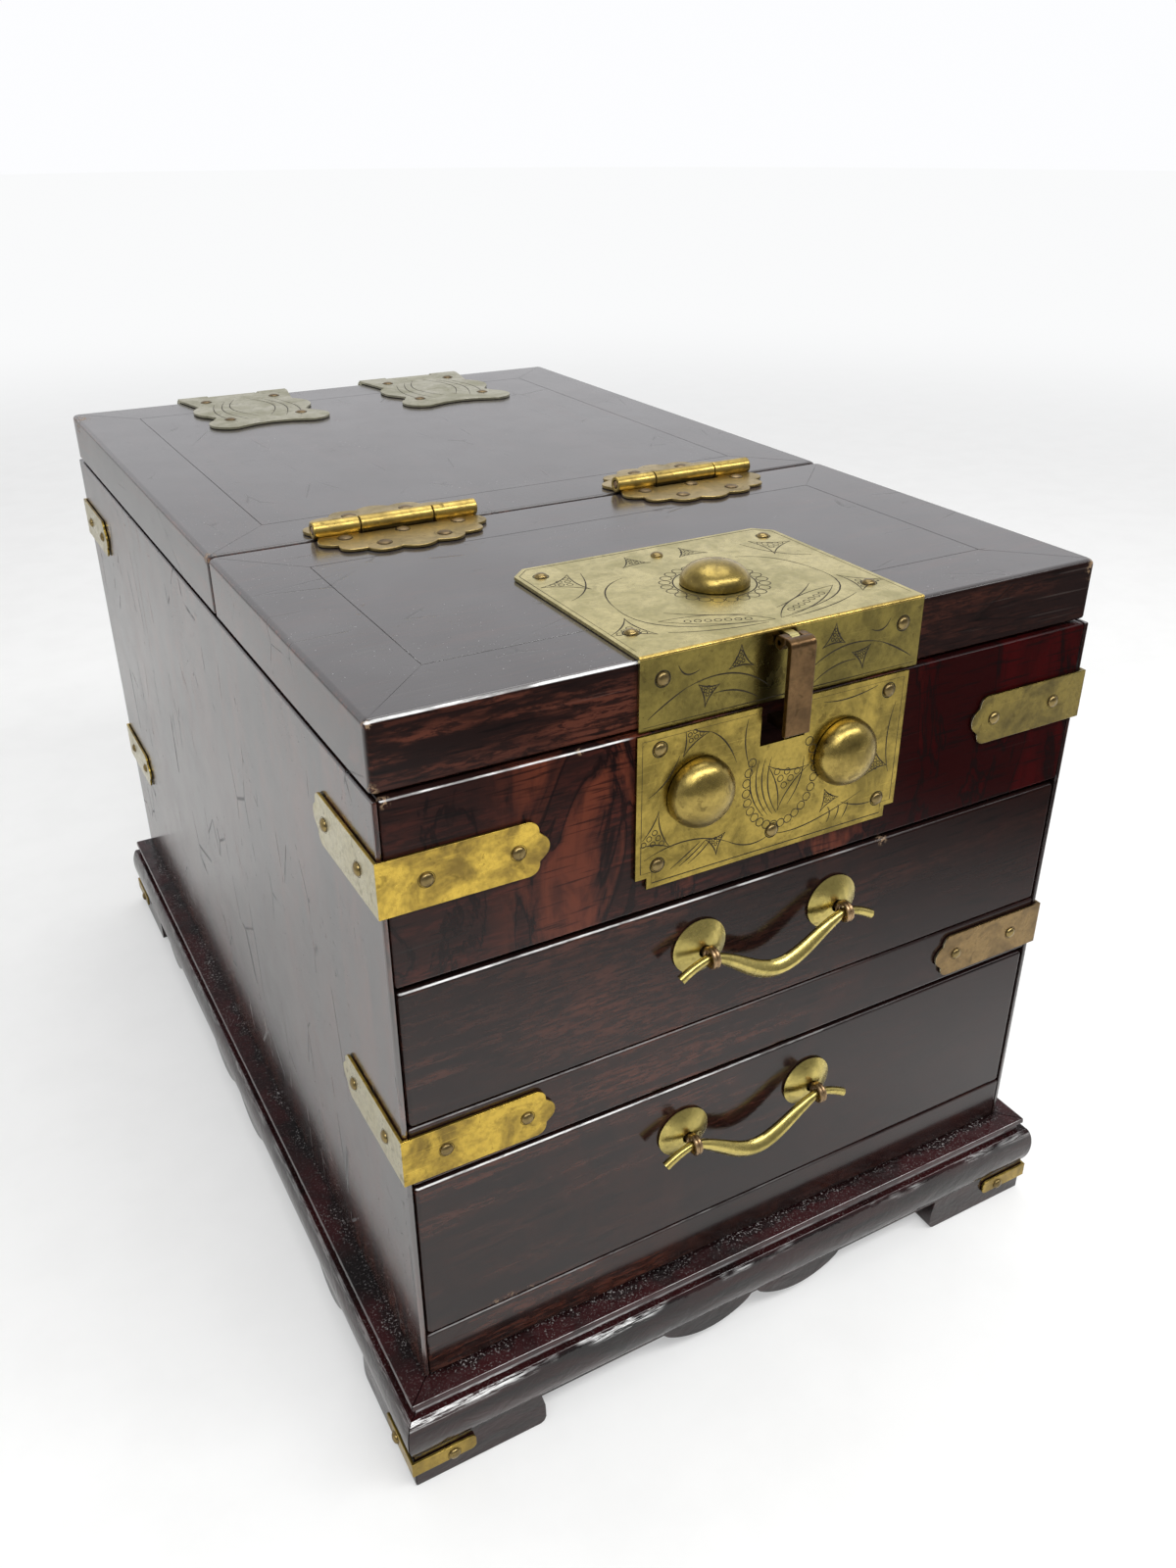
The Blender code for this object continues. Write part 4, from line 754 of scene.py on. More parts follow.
OUTSIDE, INSIDE = 0.023, 0.020
reach = SIDE + FOOT - FOOT_LENGTH
opening = arch(-reach, reach, [(-0.02025, 0.038, 0.0075), (0.02025, 0.038, 0.0075)])
base_board("base_front", lambda o, z: (-SIDE - o + MITRE, FRONT - o, z),
           lambda o, z: (SIDE + o - MITRE, FRONT - o, z),
           Shape().prism(opening, "Y", FRONT - OUTSIDE, FRONT + INSIDE))
middle = (FRONT + BACK) / 2
start, end = FRONT + FOOT_LENGTH - FOOT, BACK - FOOT_LENGTH
lobes = ((start + 0.034, 0.030), (middle - 0.02125, 0.040), (middle + 0.02125, 0.040), (end - 0.034, 0.030))
opening = arch(start, end, [(centre, width, 0.0085) for centre, width in lobes])
for name, sign in SIDES:
    ends = sorted((sign * (SIDE + OUTSIDE), sign * (SIDE - INSIDE)))
    base_board("base_" + name, lambda o, z, s=sign: (s * (SIDE + o), FRONT - o + MITRE, z),
               lambda o, z, s=sign: (s * (SIDE + o), BACK, z), Shape().prism(opening, "X", *ends))


# Boards with round edges

SLOT_HALF = 0.008
SLOT_FOOT = CASE_TOP - 0.0125


def round_board(node, top, foot, end):
    """A board with round front edges; top, foot and end are the edges' radii."""
    low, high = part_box(node)
    ends = [(end * (1 - math.cos(t)), end * (1 - math.sin(t))) for t in quarter(4)]
    stations = [(low.x + a, inset) for a, inset in ends]
    stations += [(high.x - a, inset) for a, inset in reversed(ends)]
    rings = []
    for x, inset in stations:
        front, lower, upper = low.y + inset, low.z + inset, high.z - inset
        outline = [(high.y, upper), (high.y, lower)]
        outline += arc((front + foot, lower + foot), foot, 270, 180, 4)
        outline += arc((front + top, upper - top), top, 180, 90, 8)
        rings.append([(x, y, z) for y, z in outline])
    return Shape().loft(rings)


for which in ("upper_drawer", "lower_drawer"):
    front = round_board(which + "_front", 0.0013, 0.0009, 0.0016)
    place(front, which + "_front", "board", which, "drawer", smooth=40)
mortise = Shape()
mortise.box((-SLOT_HALF, SLOT_HALF), (FRONT - 0.001, FRONT + 0.007), (SLOT_FOOT, CASE_TOP + 0.001))
rail = carved(round_board("top_rail", 0.0012, 0.0012, 0.0008), mortise)
place(rail, "top_rail", "board", "case", "top_rail", smooth=40)


# Corner brackets and foot straps

BRACKET_FINISH = {"front_right_upper_bracket": "olive", "front_right_middle_bracket": "tan"}
BRACKET_NAILS = [(0.0125, 0), (0.039, 0)]
STRAP_NAILS = [(0.0135, -0.0009)]
STRAP_LEVEL = 0.0102


def lobed_leaf():
    """Half of a bracket, laid flat: its end has one large lobe between two small ones."""
    length, half, small, large = 0.0485, 0.0085, 0.0034, 0.00408
    shoulder = length - large * 0.75 - small
    points = [(0, half)]
    points += arc((shoulder, half - small), small, 90, -10, 9)
    points += arc((length - large, 0), large, 55, -55, 10)
    points += arc((shoulder, small - half), small, 10, -90, 9)
    return points + [(0, -half)]


def strap_leaf():
    length, half, corner = 0.0215, 0.003, 0.0018
    points = arc((length - corner, half - corner), corner, 90, 0, 6)
    return [(0, half)] + points + [(a, -b) for a, b in reversed(points)] + [(0, -half)]


def corner_plate(name, leaf, corner, inward, level, nails, bevel, finish):
    """Brass folded round an upright corner, with its nails."""
    shape = Shape()
    stand = FIT + SHEET
    skins = []
    for offset in (FIT, stand):
        fx = corner[0] - inward[0] * offset
        fy = corner[1] - inward[1] * offset
        fold = shape.ring([(fx, fy, level + up) for along, up in (leaf[0], leaf[-1])])
        skin = []
        for axis in (0, 1):
            verts = [fold[0]]
            for along, up in leaf[1:-1]:
                x = corner[0] + inward[0] * along if axis == 0 else fx
                y = corner[1] + inward[1] * along if axis == 1 else fy
                verts += shape.ring([(x, y, level + up)])
            verts.append(fold[1])
            shape.face(verts)
            skin.append(verts)
        skins.append(skin)
    for inner, outer in zip(*skins):
        for i in range(len(inner) - 1):
            shape.face((inner[i], inner[i + 1], outer[i + 1], outer[i]))
    for along, up in nails:
        x, y = (corner[i] + inward[i] * along for i in (0, 1))
        shape.stud((x, corner[1] - inward[1] * stand, level + up), (0, -inward[1], 0))
        shape.stud((corner[0] - inward[0] * stand, y, level + up), (-inward[0], 0, 0))
    place(shape, name, "plate", "case", f"{finish} nail cut", bevel, segments=3)


ROWS = (("front", FRONT, 1, ("upper", "middle")), ("rear", BACK, -1, ("upper", "lower")))
for row, y, into, levels in ROWS:
    for side, sign in SIDES:
        for level in levels:
            name = f"{row}_{side}_{level}_bracket"
            low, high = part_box(name)
            corner_plate(name, lobed_leaf(), (sign * SIDE, y), (-sign, into), (low.z + high.z) / 2,
                         BRACKET_NAILS, 0.00025, BRACKET_FINISH.get(name, "bracket"))
        foot = (sign * (SIDE + FOOT), FRONT - FOOT if row == "front" else BACK)
        corner_plate(f"{row}_{side}_foot_strap", strap_leaf(), foot, (-sign, into), STRAP_LEVEL, STRAP_NAILS,
                     0.00055, "strap")


# Hinges

BARREL = 0.003
PIN = 0.0013
LEAF_BEVEL = 0.0002
RUN = 0.0009
MID_HINGE_INSET = 0.066
MID_HALF, MID_KNUCKLE, MID_DEPTH = 0.030, 0.01325, 0.025
REAR_HINGE_INSET = 0.078
REAR_HALF, REAR_KNUCKLE, REAR_LEAF_HALF = 0.027, 0.0117, 0.028
REAR_LEAF_DEPTH, CASE_LEAF_HEIGHT = 0.071, 0.036
REAR_AXIS_Y = LID_REAR + FIT + BARREL
REAR_AXIS_Z = LID_TOP - 0.0022


def knuckle(shape, start, end, y, z, mat=0):
    """A rolled tube with softened ends."""
    r, e, hole = BARREL, 0.00025, 0.0016
    length = end - start
    section = [(hole, 0), (r - e, 0), (r, e), (r, length - e), (r - e, length), (hole, length)]
    shape.turned(section, 32, (start, y, z), RIGHT, mat, True)


def hinge_pin(name, middle, half, y, z):
    shape = Shape()
    shape.rod((middle - half, y, z), 2 * half, PIN, 20)
    place(shape, name, "rod", "rear_lid", "eye")


def scalloped(middle, edge, sign):
    """Half an oval edged with scallops."""
    points = []
    lobes, steps = 7, 8
    for i in range(lobes * steps + 1):
        a = math.pi * i / (lobes * steps)
        swell = 0.9 + 0.1 * abs(math.sin(lobes * a))
        points.append((middle + 0.0312 * swell * math.cos(a),
                       edge + sign * MID_DEPTH * swell * math.sin(a) ** 0.75))
    return points


def notched(outline, gaps, edge, sign, depth):
    """Cut square gaps for knuckles out of an outline's straight edge; the outline runs from +X to -X."""
    cutback = []
    for start, end in sorted(gaps):
        start = max(start, outline[-1][0] + 0.0002)
        end = min(end, outline[0][0] - 0.0002)
        cutback += [(start, edge), (start, edge + sign * depth), (end, edge + sign * depth), (end, edge)]
    return outline + cutback


def mid_hinge(side, middle):
    """The hinge across the lid's split: two scalloped leaves with knuckles, and a pin."""
    axis_z = LEAF_LOW + BARREL
    inner, outer = MID_KNUCKLE, MID_HALF
    spans = {"rear": [(-inner, inner)], "front": [(-outer, -inner - FIT), (inner + FIT, outer)]}
    for row, away, others in (("front", -1, "rear"), ("rear", 1, "front")):
        shape = Shape()
        edge = SPLIT + away * RUN
        gaps = [(middle + a - RUN, middle + b + RUN) for a, b in spans[others]]
        shape.prism(notched(scalloped(middle, edge, away), gaps, edge, away, BARREL), "Z", LEAF_LOW, LEAF_TOP)
        for a, b in spans[row]:
            knuckle(shape, middle + a, middle + b, SPLIT, axis_z, 3)
        for share, depth in ((-0.345, 0.26), (0, 0.26), (0.345, 0.26), (-0.18, 0.70), (0.18, 0.70)):
            point = (middle + share * 2 * MID_HALF, SPLIT + away * depth * MID_DEPTH, LEAF_TOP)
            shape.stud(point, UP, FLAT_NAIL)
        place(shape, f"{side}_lid_hinge_{row}_leaf", "plate", f"{row}_lid", "leaf brown_nail cut barrel",
              LEAF_BEVEL)
    hinge_pin(f"{side}_lid_hinge_pin", middle, MID_HALF, SPLIT, axis_z)


def rear_lid_leaf(side, middle):
    """The winged leaf on the lid, with two knuckles and engraved bows."""
    inner, outer, half, depth = REAR_KNUCKLE, REAR_HALF, REAR_LEAF_HALF, REAR_LEAF_DEPTH
    front = LID_REAR - depth
    waist = front + depth * 0.33
    notch = half * 0.24
    lobe = depth * 0.14
    wing = (LID_REAR - waist) * 0.31
    edge = [(0, front + notch * 0.7), (half * 0.3, front + notch * 0.55)]
    edge += arc((half - lobe, front + lobe), lobe, -90, 50, 14)
    edge += [(half - notch, waist)]
    edge += arc((half - wing, waist + wing), wing, -40, 50, 10)
    edge += [(outer, LID_REAR - FIT), (outer, REAR_AXIS_Y), (inner + RUN, REAR_AXIS_Y)]
    edge += [(inner + RUN, REAR_AXIS_Y - BARREL - RUN), (0, REAR_AXIS_Y - BARREL - RUN)]
    shape = Shape()
    shape.prism([(middle + a, b) for a, b in both_sides(edge)], "Z", LEAF_LOW, LEAF_TOP)
    for a, b in ((-outer, -inner - FIT), (inner + FIT, outer)):
        knuckle(shape, middle + a, middle + b, REAR_AXIS_Y, REAR_AXIS_Z)
    for y in (LID_REAR - depth * 0.16, front + depth * 0.23):
        for s in (-1, 1):
            shape.stud((middle + s * half * 0.60, y, LEAF_TOP), UP, FLAT_NAIL)
    for s in (-1, 1):
        for k in range(3):
            path = []
            for i in range(13):
                t = i / 12
                x = middle + s * (0.003 + 0.006 * k + 0.007 * math.sin(math.pi * t) * (1 - 0.2 * k))
                path.append((x, front + 0.018 + 0.042 * t - 0.004 * k, LEAF_TOP))
            shape.line(path, UP, 0.0006)
    place(shape, f"{side}_rear_hinge_lid_leaf", "plate", "rear_lid", "dull brown_nail cut",
          LEAF_BEVEL)


def rear_case_leaf(side, middle):
    """The rounded leaf on the back panel, with the middle knuckle."""
    inner, half = REAR_KNUCKLE, REAR_LEAF_HALF
    top = CASE_TOP - RUN
    foot = top - CASE_LEAF_HEIGHT
    corner = CASE_LEAF_HEIGHT * 0.3
    neck = REAR_AXIS_Z - PIN - 2 * FIT
    edge = [(0, foot)] + arc((half - corner, foot + corner), corner, -90, 0, 8)
    edge += arc((half - corner, top - corner), corner, 0, 90, 8) + [(inner, top), (inner, neck), (0, neck)]
    face = BACK + FIT + SHEET
    shape = Shape()
    shape.prism([(middle + a, b) for a, b in both_sides(edge)], "Y", BACK + FIT, face)
    knuckle(shape, middle - inner, middle + inner, REAR_AXIS_Y, REAR_AXIS_Z)
    for z in (top - corner * 0.8, foot + corner * 0.8):
        for s in (-1, 1):
            shape.stud((middle + s * half * 0.68, face, z), BEHIND)
    place(shape, f"{side}_rear_hinge_case_leaf", "plate", "case", "dull brown_nail cut",
          LEAF_BEVEL)


for side, sign in SIDES:
    mid_hinge(side, sign * (SIDE - MID_HINGE_INSET))
    middle = sign * (SIDE - REAR_HINGE_INSET)
    rear_lid_leaf(side, middle)
    rear_case_leaf(side, middle)
    hinge_pin(f"{side}_rear_hinge_pin", middle, REAR_HALF, REAR_AXIS_Y, REAR_AXIS_Z)


# Engraved ornament on the lock plates

class Engraver:
    """Draws leaf scrolls in a plate's own two axes, inside the area that a test allows."""

    def __init__(self, shape, place_point, normal, allowed):
        self.shape = shape
        self.place = place_point
        self.normal = normal
        self.allowed = allowed

    def path(self, points, width=0.00048):
        run = []
        for point in list(points) + [None]:
            if point is not None and self.allowed(*point):
                run.append(self.place(*point))
                continue
            if len(run) > 1:
                self.shape.line(run, self.normal, width)
            run = []

    def bead(self, centre, radius, width=0.00036):
        self.path(circle(radius, 10, centre), width)

    def beads(self, centre, radii, start, end, count, size):
        for i in range(count):
            a = math.radians(start + (end - start) * i / (count - 1))
            self.bead((centre[0] + radii[0] * math.cos(a), centre[1] + radii[1] * math.sin(a)), size)

    def curve(self, start, pull, end):
        points = []
        for i in range(13):
            t = i / 12
            shares = ((1 - t) ** 2, 2 * t * (1 - t), t * t)
            points.append([sum(a * b for a, b in zip(shares, row)) for row in zip(start, pull, end)])
        self.path(points, 0.00050)

    def leaf(self, tip, turn, size):
        """A pointed leaf with hollow sides, filled with rows of small rings."""
        c, s = math.cos(math.radians(turn)), math.sin(math.radians(turn))

        def put(u, v):
            return (tip[0] + size * (u * c - v * s), tip[1] + size * (u * s + v * c))

        left, right = put(1.0, 0.52), put(1.0, -0.52)
        self.curve(tip, put(0.55, 0.06), left)
        self.curve(tip, put(0.55, -0.06), right)
        self.curve(left, put(0.80, 0.0), right)
        for row in range(1, 4):
            for k in range(row):
                self.bead(put(0.42 + 0.15 * row, 0.15 * (2 * k - row + 1) * 0.85), size * 0.070, 0.00032)

    def draw(self, curves, leaves, mirror=1):
        """Curves as start, pull and end, and leaves as tip, tilt from upright and size, in millimetres."""
        for row in curves:
            self.curve(*((mirror * a / 1000, b / 1000) for a, b in zip(row[::2], row[1::2])))
        for a, b, tilt, size in leaves:
            self.leaf((mirror * a / 1000, b / 1000), 90 + mirror * tilt, size / 1000)


CASE_CURVES = [
    (10, 30, 10.5, 21.5, 5, 15), (-45, 10, -30, 16, -16, 8), (-16, 8, -8, 2.5, -1, 6), (1, 6, 12, 3, 34, 12),
    (-44, 30, -37, 33, -34, 41), (-24, 46, -18, 43, -14.5, 34), (-11, 47, -13, 40, -10, 32),
    (16, 46, 25, 44, 36, 47), (44, 40, 40, 28, 44, 16), (26, 10, 33, 6, 40, 7),
]
for k in range(4):
    CASE_CURVES.append((-8.5 + 2.2 * k, 32.5, -11.5 + 2.2 * k, 22.5, -3.5 + 1.6 * k, 13))
for k in range(3):
    CASE_CURVES.append((-36 + 3 * k, 4.5, -30 + 3 * k, 8, -26 + 2 * k, 11))
    CASE_CURVES.append((21 + 3 * k, 4, 23 + 3 * k, 7, 21 + 4 * k, 9.5))
CASE_LEAVES = [
    (1.5, 13.5, -12, 15), (-33, 40, -28, 9.5), (-40.5, 25, -190, 12), (-20, 4.5, 5, 6.8), (18, 8.5, -35, 7),
    (37.5, 26, -170, 8.5),
]
LID_CURVES = [
    (6, 6, 40, 10, 36, 34), (36, 34, 34, 52, 21, 56), (44, 46, 34, 50, 30, 66), (5, 12, 16, 15, 26, 24),
    (1, 4.5, 10, 18.5, 31, 19), (1, 4.5, 18, 6, 31, 19), (4, 3.5, 20, 4, 33, 10.5),
]
LID_LEAVES = [(34, 52, -28, 13.5), (38, 26, -160, 13.5), (16, 64, 60, 9.5)]
APRON_CURVES = [
    (6, 5, 18, 15.5, 34, 10.5), (34, 10.5, 40, 8, 46.5, 3.5), (10, 2.5, 17, 7.5, 25, 6.8),
    (30, 15, 35, 12.5, 37, 17.5),
]
APRON_LEAVES = [(12, 12.5, -60, 7.5), (28, 3, 10, 7)]


# Lock

BORDER_WIDTH = 0.0004
MARGIN = 0.0012
PLATE_NOTCH = 0.0038
PLATE_NAIL = 0.0073
EYE = 0.0022
APRON_FACE = LID_FRONT - FIT - SHEET
HASP_AXIS = (APRON_FACE - FIT - EYE, LID_TOP - EYE)
HASP_PIN, HASP_PIN_LENGTH = 0.001, 0.0087


def lower_lock_plate():
    """The plate on the case, with notched lower corners and a slot for the hasp's stud."""
    shape = Shape()
    low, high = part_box("lower_lock_plate")
    mid = (low.x + high.x) / 2
    half, height = (high.x - low.x) / 2, high.z - low.z
    step, slot, foot = PLATE_NOTCH, SLOT_HALF, SLOT_FOOT - low.z
    face = FRONT - FIT - SHEET

    def border(inset):
        """The outline's right half up to its upper corner, drawn in by an inset."""
        notch, edge = half - step - inset, half - inset
        return [(notch, inset), (notch, step + inset), (edge, step + inset), (edge, height - inset)]

    right = border(0)
    left = [(-a, b) for a, b in reversed(right)]
    gap = [(slot, height), (slot, foot), (-slot, foot), (-slot, height)]
    outline = right + [(a - mid, b) for a, b in gap] + left
    shape.prism([(mid + a, low.z + b) for a, b in outline], "Y", face, FRONT - FIT)
    nails = [(0, PLATE_NAIL)]
    for s in (-1, 1):
        nails += [(s * (half - PLATE_NAIL), PLATE_NAIL), (s * (half - PLATE_NAIL), height - 0.005)]
    for a, b in nails:
        shape.stud((mid + a, face, low.z + b), AHEAD)

    def on_plate(a, b):
        in_notch = b < step + MARGIN and abs(a) >= half - step - MARGIN
        in_slot = abs(mid + a) < slot + MARGIN and b > foot - MARGIN
        return abs(a) < half - MARGIN and MARGIN < b < height - MARGIN and not (in_notch or in_slot)

    e = Engraver(shape, lambda a, b: (mid + a, face, low.z + b), AHEAD, on_plate)
    inset = 0.0017
    inner = border(inset) + [(slot + inset - mid, height - inset)]
    outer = [(-slot - inset - mid, height - inset)] + [(-a, b) for a, b in reversed(border(inset))]
    e.path(outer + inner, BORDER_WIDTH)
    e.beads((0.002, 0.0245), (0.0125, 0.0155), 150, 400, 21, 0.0014)
    e.draw(CASE_CURVES, CASE_LEAVES)
    place(shape, "lower_lock_plate", "sheet", "case", "plate nail cut", 0.00025)


def lid_lock_plate():
    """The plate folded over the lid's front edge, with the hasp's lug and pin."""
    shape = Shape()
    lo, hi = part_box("lid_lock_plate")
    left, right, rear = lo.x, hi.x, hi.y
    mid, half, depth = (left + right) / 2, (right - left) / 2, rear - LID_FRONT
    chamfer, fold = 0.0055, 0.0009
    profile = [(LID_FRONT - FIT, lo.z), (APRON_FACE, lo.z), (APRON_FACE, LEAF_TOP - fold)]
    profile += arc((APRON_FACE + fold, LEAF_TOP - fold), fold, 180, 90, 4)[1:]
    profile += [(rear - chamfer, LEAF_TOP), (rear - chamfer, LEAF_LOW), (LID_FRONT - FIT, LEAF_LOW)]
    shape.prism(profile, "X", left, right)
    # The fold and the apron take their own finishes; the top keeps the pale lid plate finish, a painted
    # reflection
    for face in shape.bm.faces:
        middle = face.calc_center_median()
        if middle.y < APRON_FACE + fold:
            face.material_index = 3 if middle.z > LEAF_TOP - fold else 4
    tail = [(left, rear - chamfer), (right, rear - chamfer), (right - chamfer, rear), (left + chamfer, rear)]
    shape.prism(tail, "Z", LEAF_LOW, LEAF_TOP)
    rear_nail = rear - 0.0093
    for x in (left + PLATE_NAIL, right - PLATE_NAIL):
        shape.stud((x, rear_nail, LEAF_TOP), UP)
        shape.stud((x, LID_FRONT + 0.0154, LEAF_TOP), UP)
        shape.stud((x, APRON_FACE, LID_TOP - 0.0062), AHEAD)
    shape.nail((mid, rear_nail, LEAF_TOP), UP)
    root, (axis_y, axis_z) = APRON_FACE + SHEET / 2, HASP_AXIS
    lug = [(root, axis_z + EYE), (root, axis_z - EYE)] + arc(HASP_AXIS, EYE, 270, 90, 12)
    shape.prism(lug, "X", -0.0015, 0.0015)
    shape.rod((-HASP_PIN_LENGTH / 2, axis_y, axis_z), HASP_PIN_LENGTH, HASP_PIN, 16, 1)

    def on_top(a, b):
        return (abs(a) < half - MARGIN and 0.0015 < b < depth - MARGIN
                and abs(a) + b < half + depth - chamfer - 0.001)

    e = Engraver(shape, lambda a, b: (mid + a, LID_FRONT + b, LEAF_TOP), UP, on_top)
    inset, slant = 0.0015, chamfer + 0.0006
    border = [(half - slant, depth - inset), (half - inset, depth - slant), (half - inset, 0.003)]
    e.path([(-a, b) for a, b in reversed(border)] + border, BORDER_WIDTH)
    dome_low, dome_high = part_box("lid_dome")
    centre = ((dome_low.x + dome_high.x) / 2 - mid, (dome_low.y + dome_high.y) / 2 - LID_FRONT)
    e.path(circle(0.0128, 48, centre))
    e.beads(centre, (0.0152, 0.0152), 0, 345, 24, 0.00185)
    height = LID_TOP - lo.z
    f = Engraver(shape, lambda a, b: (mid + a, APRON_FACE, lo.z + b), AHEAD,
                 lambda a, b: abs(a) < half - 0.001 and 0.001 < b < height - 0.001)
    for s in (-1, 1):
        e.draw(LID_CURVES, LID_LEAVES, s)
        for k in range(7):
            e.bead((s * (0.0075 + 0.0027 * k), 0.0085 + 0.0011 * k), 0.0010, 0.00034)
        f.draw(APRON_CURVES, APRON_LEAVES, s)
    f.path([(-half + 0.0013, 0.0012), (0, 0.0012), (half - 0.0013, 0.0012)], BORDER_WIDTH)
    place(shape, "lid_lock_plate", "sheet", "front_lid", "lid_plate nail cut barrel apron")


def dome(name, body, direction):
    """A round boss with a short upright rim."""
    lo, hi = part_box(name)
    size = hi - lo
    radius, height = max(size) / 2, min(size)
    base = [(low if d > 0 else high) if d else (low + high) / 2 for d, low, high in zip(direction, lo, hi)]
    profile = [(radius * math.sin(a), height * (0.06 + 0.94 * math.cos(a) ** 0.92)) for a in quarter(16)[1:]]
    shape = Shape().turned([(0, height)] + profile + [(radius, 0), (0, 0)], 64, base, direction)
    place(shape, name, "boss", body, "bright", smooth=50)


def hasp():
    """A bent strap with two prongs round the lug's pin and a stud behind its foot."""
    shape = Shape()
    lo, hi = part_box("hasp")
    half, front, top, bottom = hi.x, lo.y, hi.z, lo.z
    thick, prong_gap, inner_bend = 0.002, 0.0018, 0.0010
    bend = thick * 1.2
    inside = front + thick
    strap = arc((front + bend, top - bend), bend, 90, 180, 8)
    strap += [(front, bottom + 0.0006), (front + 0.0004, bottom)]
    strap += [(inside - 0.0003, bottom), (inside, bottom + 0.0005)]
    strap += arc((inside + inner_bend, top - thick - inner_bend), inner_bend, 180, 90, 4)
    neck = HASP_AXIS[0] - 0.0025
    shape.prism([(neck, top)] + strap + [(neck, top - thick)], "X", -half, half)
    prong = [(neck, top - thick)] + arc(HASP_AXIS, EYE, -100, 90, 14) + [(neck, top)]
    for s in (-1, 1):
        shape.prism(prong, "X", *sorted((s * prong_gap, s * half)))
    stud_low = bottom + FIT
    shape.box((-0.0025, 0.0025), (front + thick * 0.6, front + 0.0115), (stud_low, stud_low + 0.0028))
    place(shape, "hasp", "strap", "hasp", "copper", 0.00035)


lower_lock_plate()
lid_lock_plate()
dome("left_lock_dome", "case", AHEAD)
dome("right_lock_dome", "case", AHEAD)
dome("lid_dome", "front_lid", UP)
hasp()


# Drawer pulls

BAIL_OUT = 0.0075
WIRE, WIRE_TURN, STRAND = 0.00075, 0.0029, 0.00062


def cylinder(radius, low, high):
    return [(0, low), (radius, low), (radius, high), (0, high)]


def pull_post(name, body, x, level):
    """A thin domed rosette with a hole, and a split pin whose two strands wrap round the bail."""
    shape = Shape()
    radius, rise, sheet = 0.0096, 0.0038, 0.0009
    shares = [0.23 + 0.77 * i / 9 for i in range(10)]
    outer = [(radius * s, FIT + sheet * 0.5 + (rise - sheet * 0.5) * (1 - s ** 1.7)) for s in shares]
    inner = [(r - 0.0002 * (i > 8), max(h - sheet, FIT)) for i, (r, h) in enumerate(outer)]
    shape.turned(outer + inner[::-1], 48, (x, FRONT, level), AHEAD, 0, True)
    # A dark plug in the cut-line finish sits behind the rosette's hole: painted shade in the hole
    shape.turned(cylinder(0.0025, 0.0006, 0.0022), 24, (x, FRONT, level), AHEAD, 2)
    for strand in (x - STRAND, x + STRAND):
        wire = circle(WIRE, 10, (WIRE_TURN, 0))[:-1]
        shape.turned(wire, 30, (strand, FRONT - BAIL_OUT, level), RIGHT, 1, True)
        shape.turned(cylinder(0.0008, 0.0012, 0.0048), 12, (strand, FRONT, level), AHEAD, 1)
    place(shape, name, "rosette", body, "pull eye cut", smooth=45)


def bail(name, body, middle, level):
    """A bow with a soft ridge along its front, drawn out to thin tails beyond the eyes."""
    half, sag, tail, drop = 0.0255, 0.0125, 0.011, 0.0045
    thick, thin = 0.0033, 0.0013
    shares = [i / 8 for i in range(1, 9)]
    tails = [(half + tail * s, -drop * s ** 1.6, thin * (1 + 0.20 * s), 0.0) for s in shares]
    line = [(-x, *rest) for x, *rest in reversed(tails)]
    for i in range(49):
        share = 2 * i / 48 - 1
        swell = max(0.0, math.cos(math.pi / 2 * share)) ** 0.9
        wave = (1 + math.cos(math.pi * share)) / 2
        hang = -sag * (0.65 * wave + 0.35 * (1 - share ** 2))
        line.append((half * share, hang, thin + (thick - thin) * swell, swell))
    line += tails
    rings = []
    for i, (x, z, radius, swell) in enumerate(line):
        a, b = line[max(i - 1, 0)], line[min(i + 1, len(line) - 1)]
        across = Vector((a[1] - b[1], 0, b[0] - a[0])).normalized()
        power = 2.0 - 0.6 * min(1.0, 1.6 * swell)
        deep = Vector(BEHIND) * (1.0 - 0.12 * swell)
        point = Vector((middle + x, FRONT - BAIL_OUT, level + z))
        ring = []
        for c, s in circle(1, 24)[:-1]:
            reach = radius / (abs(c) ** power + abs(s) ** power) ** (1 / power)
            ring.append(point + (across * c + deep * s) * reach)
        rings.append(ring)
    place(Shape().loft(rings), name, "bow", body, "pull", smooth=50)


for which in ("upper", "lower"):
    ends = []
    for side in ("left", "right"):
        name = f"{which}_pull_{side}_post"
        low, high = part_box(name)
        centre = (low + high) / 2
        ends.append(centre)
        pull_post(name, f"{which}_drawer", centre.x, ends[0].z)
    bail(f"{which}_pull_bail", f"{which}_pull", (ends[0].x + ends[1].x) / 2, ends[0].z)


# Floor, light and camera

def floor():
    """A pale disc that glows to the camera, more so far from the box, and blends into the backdrop."""
    m = Material("floor_white")
    fine = m.noise(26, 4, 0.6)
    pale = m.mix(m.fade(fine, 0.35, 0.7), (0.90, 0.90, 0.885), (0.87, 0.87, 0.855))
    m.set(Base_Color=pale, Roughness=m.fade(fine, 0.3, 0.7, 0.6, 0.7), Specular_IOR_Level=0.1)
    glow = m.node("Emission", "Emission", {"Color": (0.965, 0.97, 0.975)})
    share = m.times(m.ray("Camera"), m.fade(m.near((0, 0, 0), 0.5, 2.6), 0.0, 1.0, 0.98, 0.35))
    surface = m.tree.nodes["Material Output"].inputs["Surface"]
    m.link(m.mix_shader(share, m.shader.outputs["BSDF"], glow), surface)
    shape = Shape()
    shape.face(shape.ring([(a, b, -0.0001) for a, b in circle(9, 64)[:-1]]))
    plane = add("floor", shape.mesh("floor"))
    plane.data.materials.append(m.material)


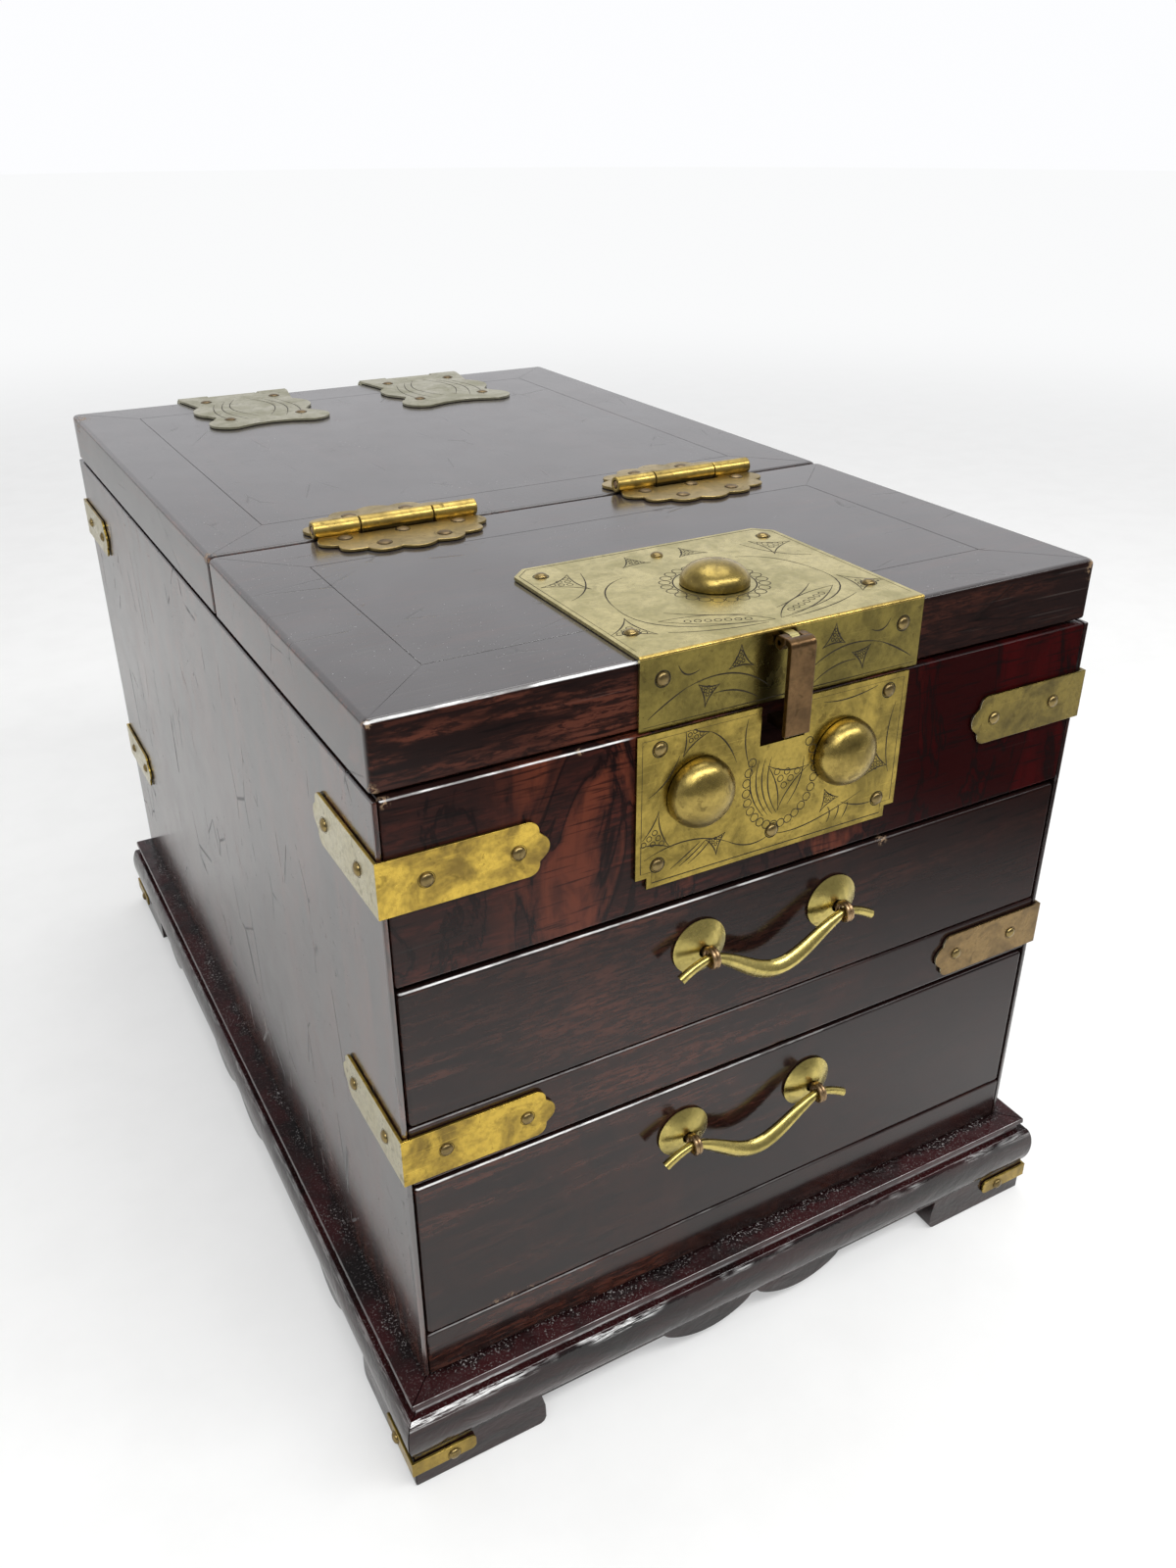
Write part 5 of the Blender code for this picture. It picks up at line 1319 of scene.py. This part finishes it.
def world():
    """Pale to the camera; to reflections bright behind and above the box and darker on the viewer's side."""
    sky = bpy.data.worlds.new("studio")
    bpy.context.scene.world = sky
    sky.use_nodes = True
    sky.node_tree.nodes.clear()
    w = Nodes(sky.node_tree, "Generated")
    tint = w.node("ValToRGB", "Color", {"Fac": w.axis("Z")})
    stops = tint.node.color_ramp.elements
    stops[0].position, stops[0].color = 0.0, (0.95, 0.95, 0.97, 1)
    stops[1].position, stops[1].color = 1.0, (0.80, 0.80, 0.80, 1)
    for position, value in ((0.20, 0.95), (0.45, 0.90), (0.75, 0.70)):
        stops.new(position).color = (value, value, value * 1.03, 1)
    strength = w.fade(w.axis("Y"), -0.75, 0.15, 0.30, 1.0)
    shine = w.node("Background", "Background", {"Color": tint, "Strength": strength})
    fill = w.node("Background", "Background", {"Color": (0.50, 0.50, 0.51)})
    white = w.node("Background", "Background", {"Color": (0.98, 0.985, 1.0)})
    mirrored = w.mix_shader(w.math("MAXIMUM", w.ray("Glossy"), w.ray("Transmission")), fill, shine)
    out = w.tree.nodes.new("ShaderNodeOutputWorld")
    w.link(w.mix_shader(w.ray("Camera"), mirrored, white), out.inputs["Surface"])


def lamp(name, where, aim, size, power):
    light = bpy.data.lights.new(name, "AREA")
    light.shape = "RECTANGLE" if size[0] != size[1] else "DISK"
    light.size, light.size_y = size
    light.energy = power
    holder = add(name, light)
    holder.location = where
    holder.rotation_euler = (Vector(aim) - Vector(where)).to_track_quat("-Z", "Y").to_euler()


def camera():
    """The camera that was fitted to the photograph's straight edges."""
    data = bpy.data.cameras.new("camera")
    holder = add("camera", data)
    right = Vector((0.87293, -0.48784, -0.00300))
    down = Vector((-0.23229, -0.41024, -0.88190))
    ahead = Vector((0.42899, 0.77053, -0.47143))
    turn = Matrix((right, -down, -ahead)).transposed().to_4x4()
    holder.matrix_world = Matrix.Translation((-0.21230, FRONT - 0.26628, 0.40135)) @ turn
    focal_px, height_px = 1307.736, 1600
    data.sensor_width = 36.0
    data.lens = data.sensor_width * focal_px / height_px
    data.clip_start = 0.01
    bpy.context.scene.camera = holder


floor()
world()
lamp("key_light", (-0.75, -0.95, 1.35), (0, 0, 0.14), (1.0, 1.0), 7.0)
lamp("top_light", (0.25, 0.25, 1.55), (0, 0, 0.14), (1.2, 1.2), 8.0)
lamp("strip_light", (0.42, -0.85, 1.20), (0.42, -0.15, 0.10), (1.7, 0.28), 13.0)
camera()
bpy.context.scene.view_settings.view_transform = "Standard"
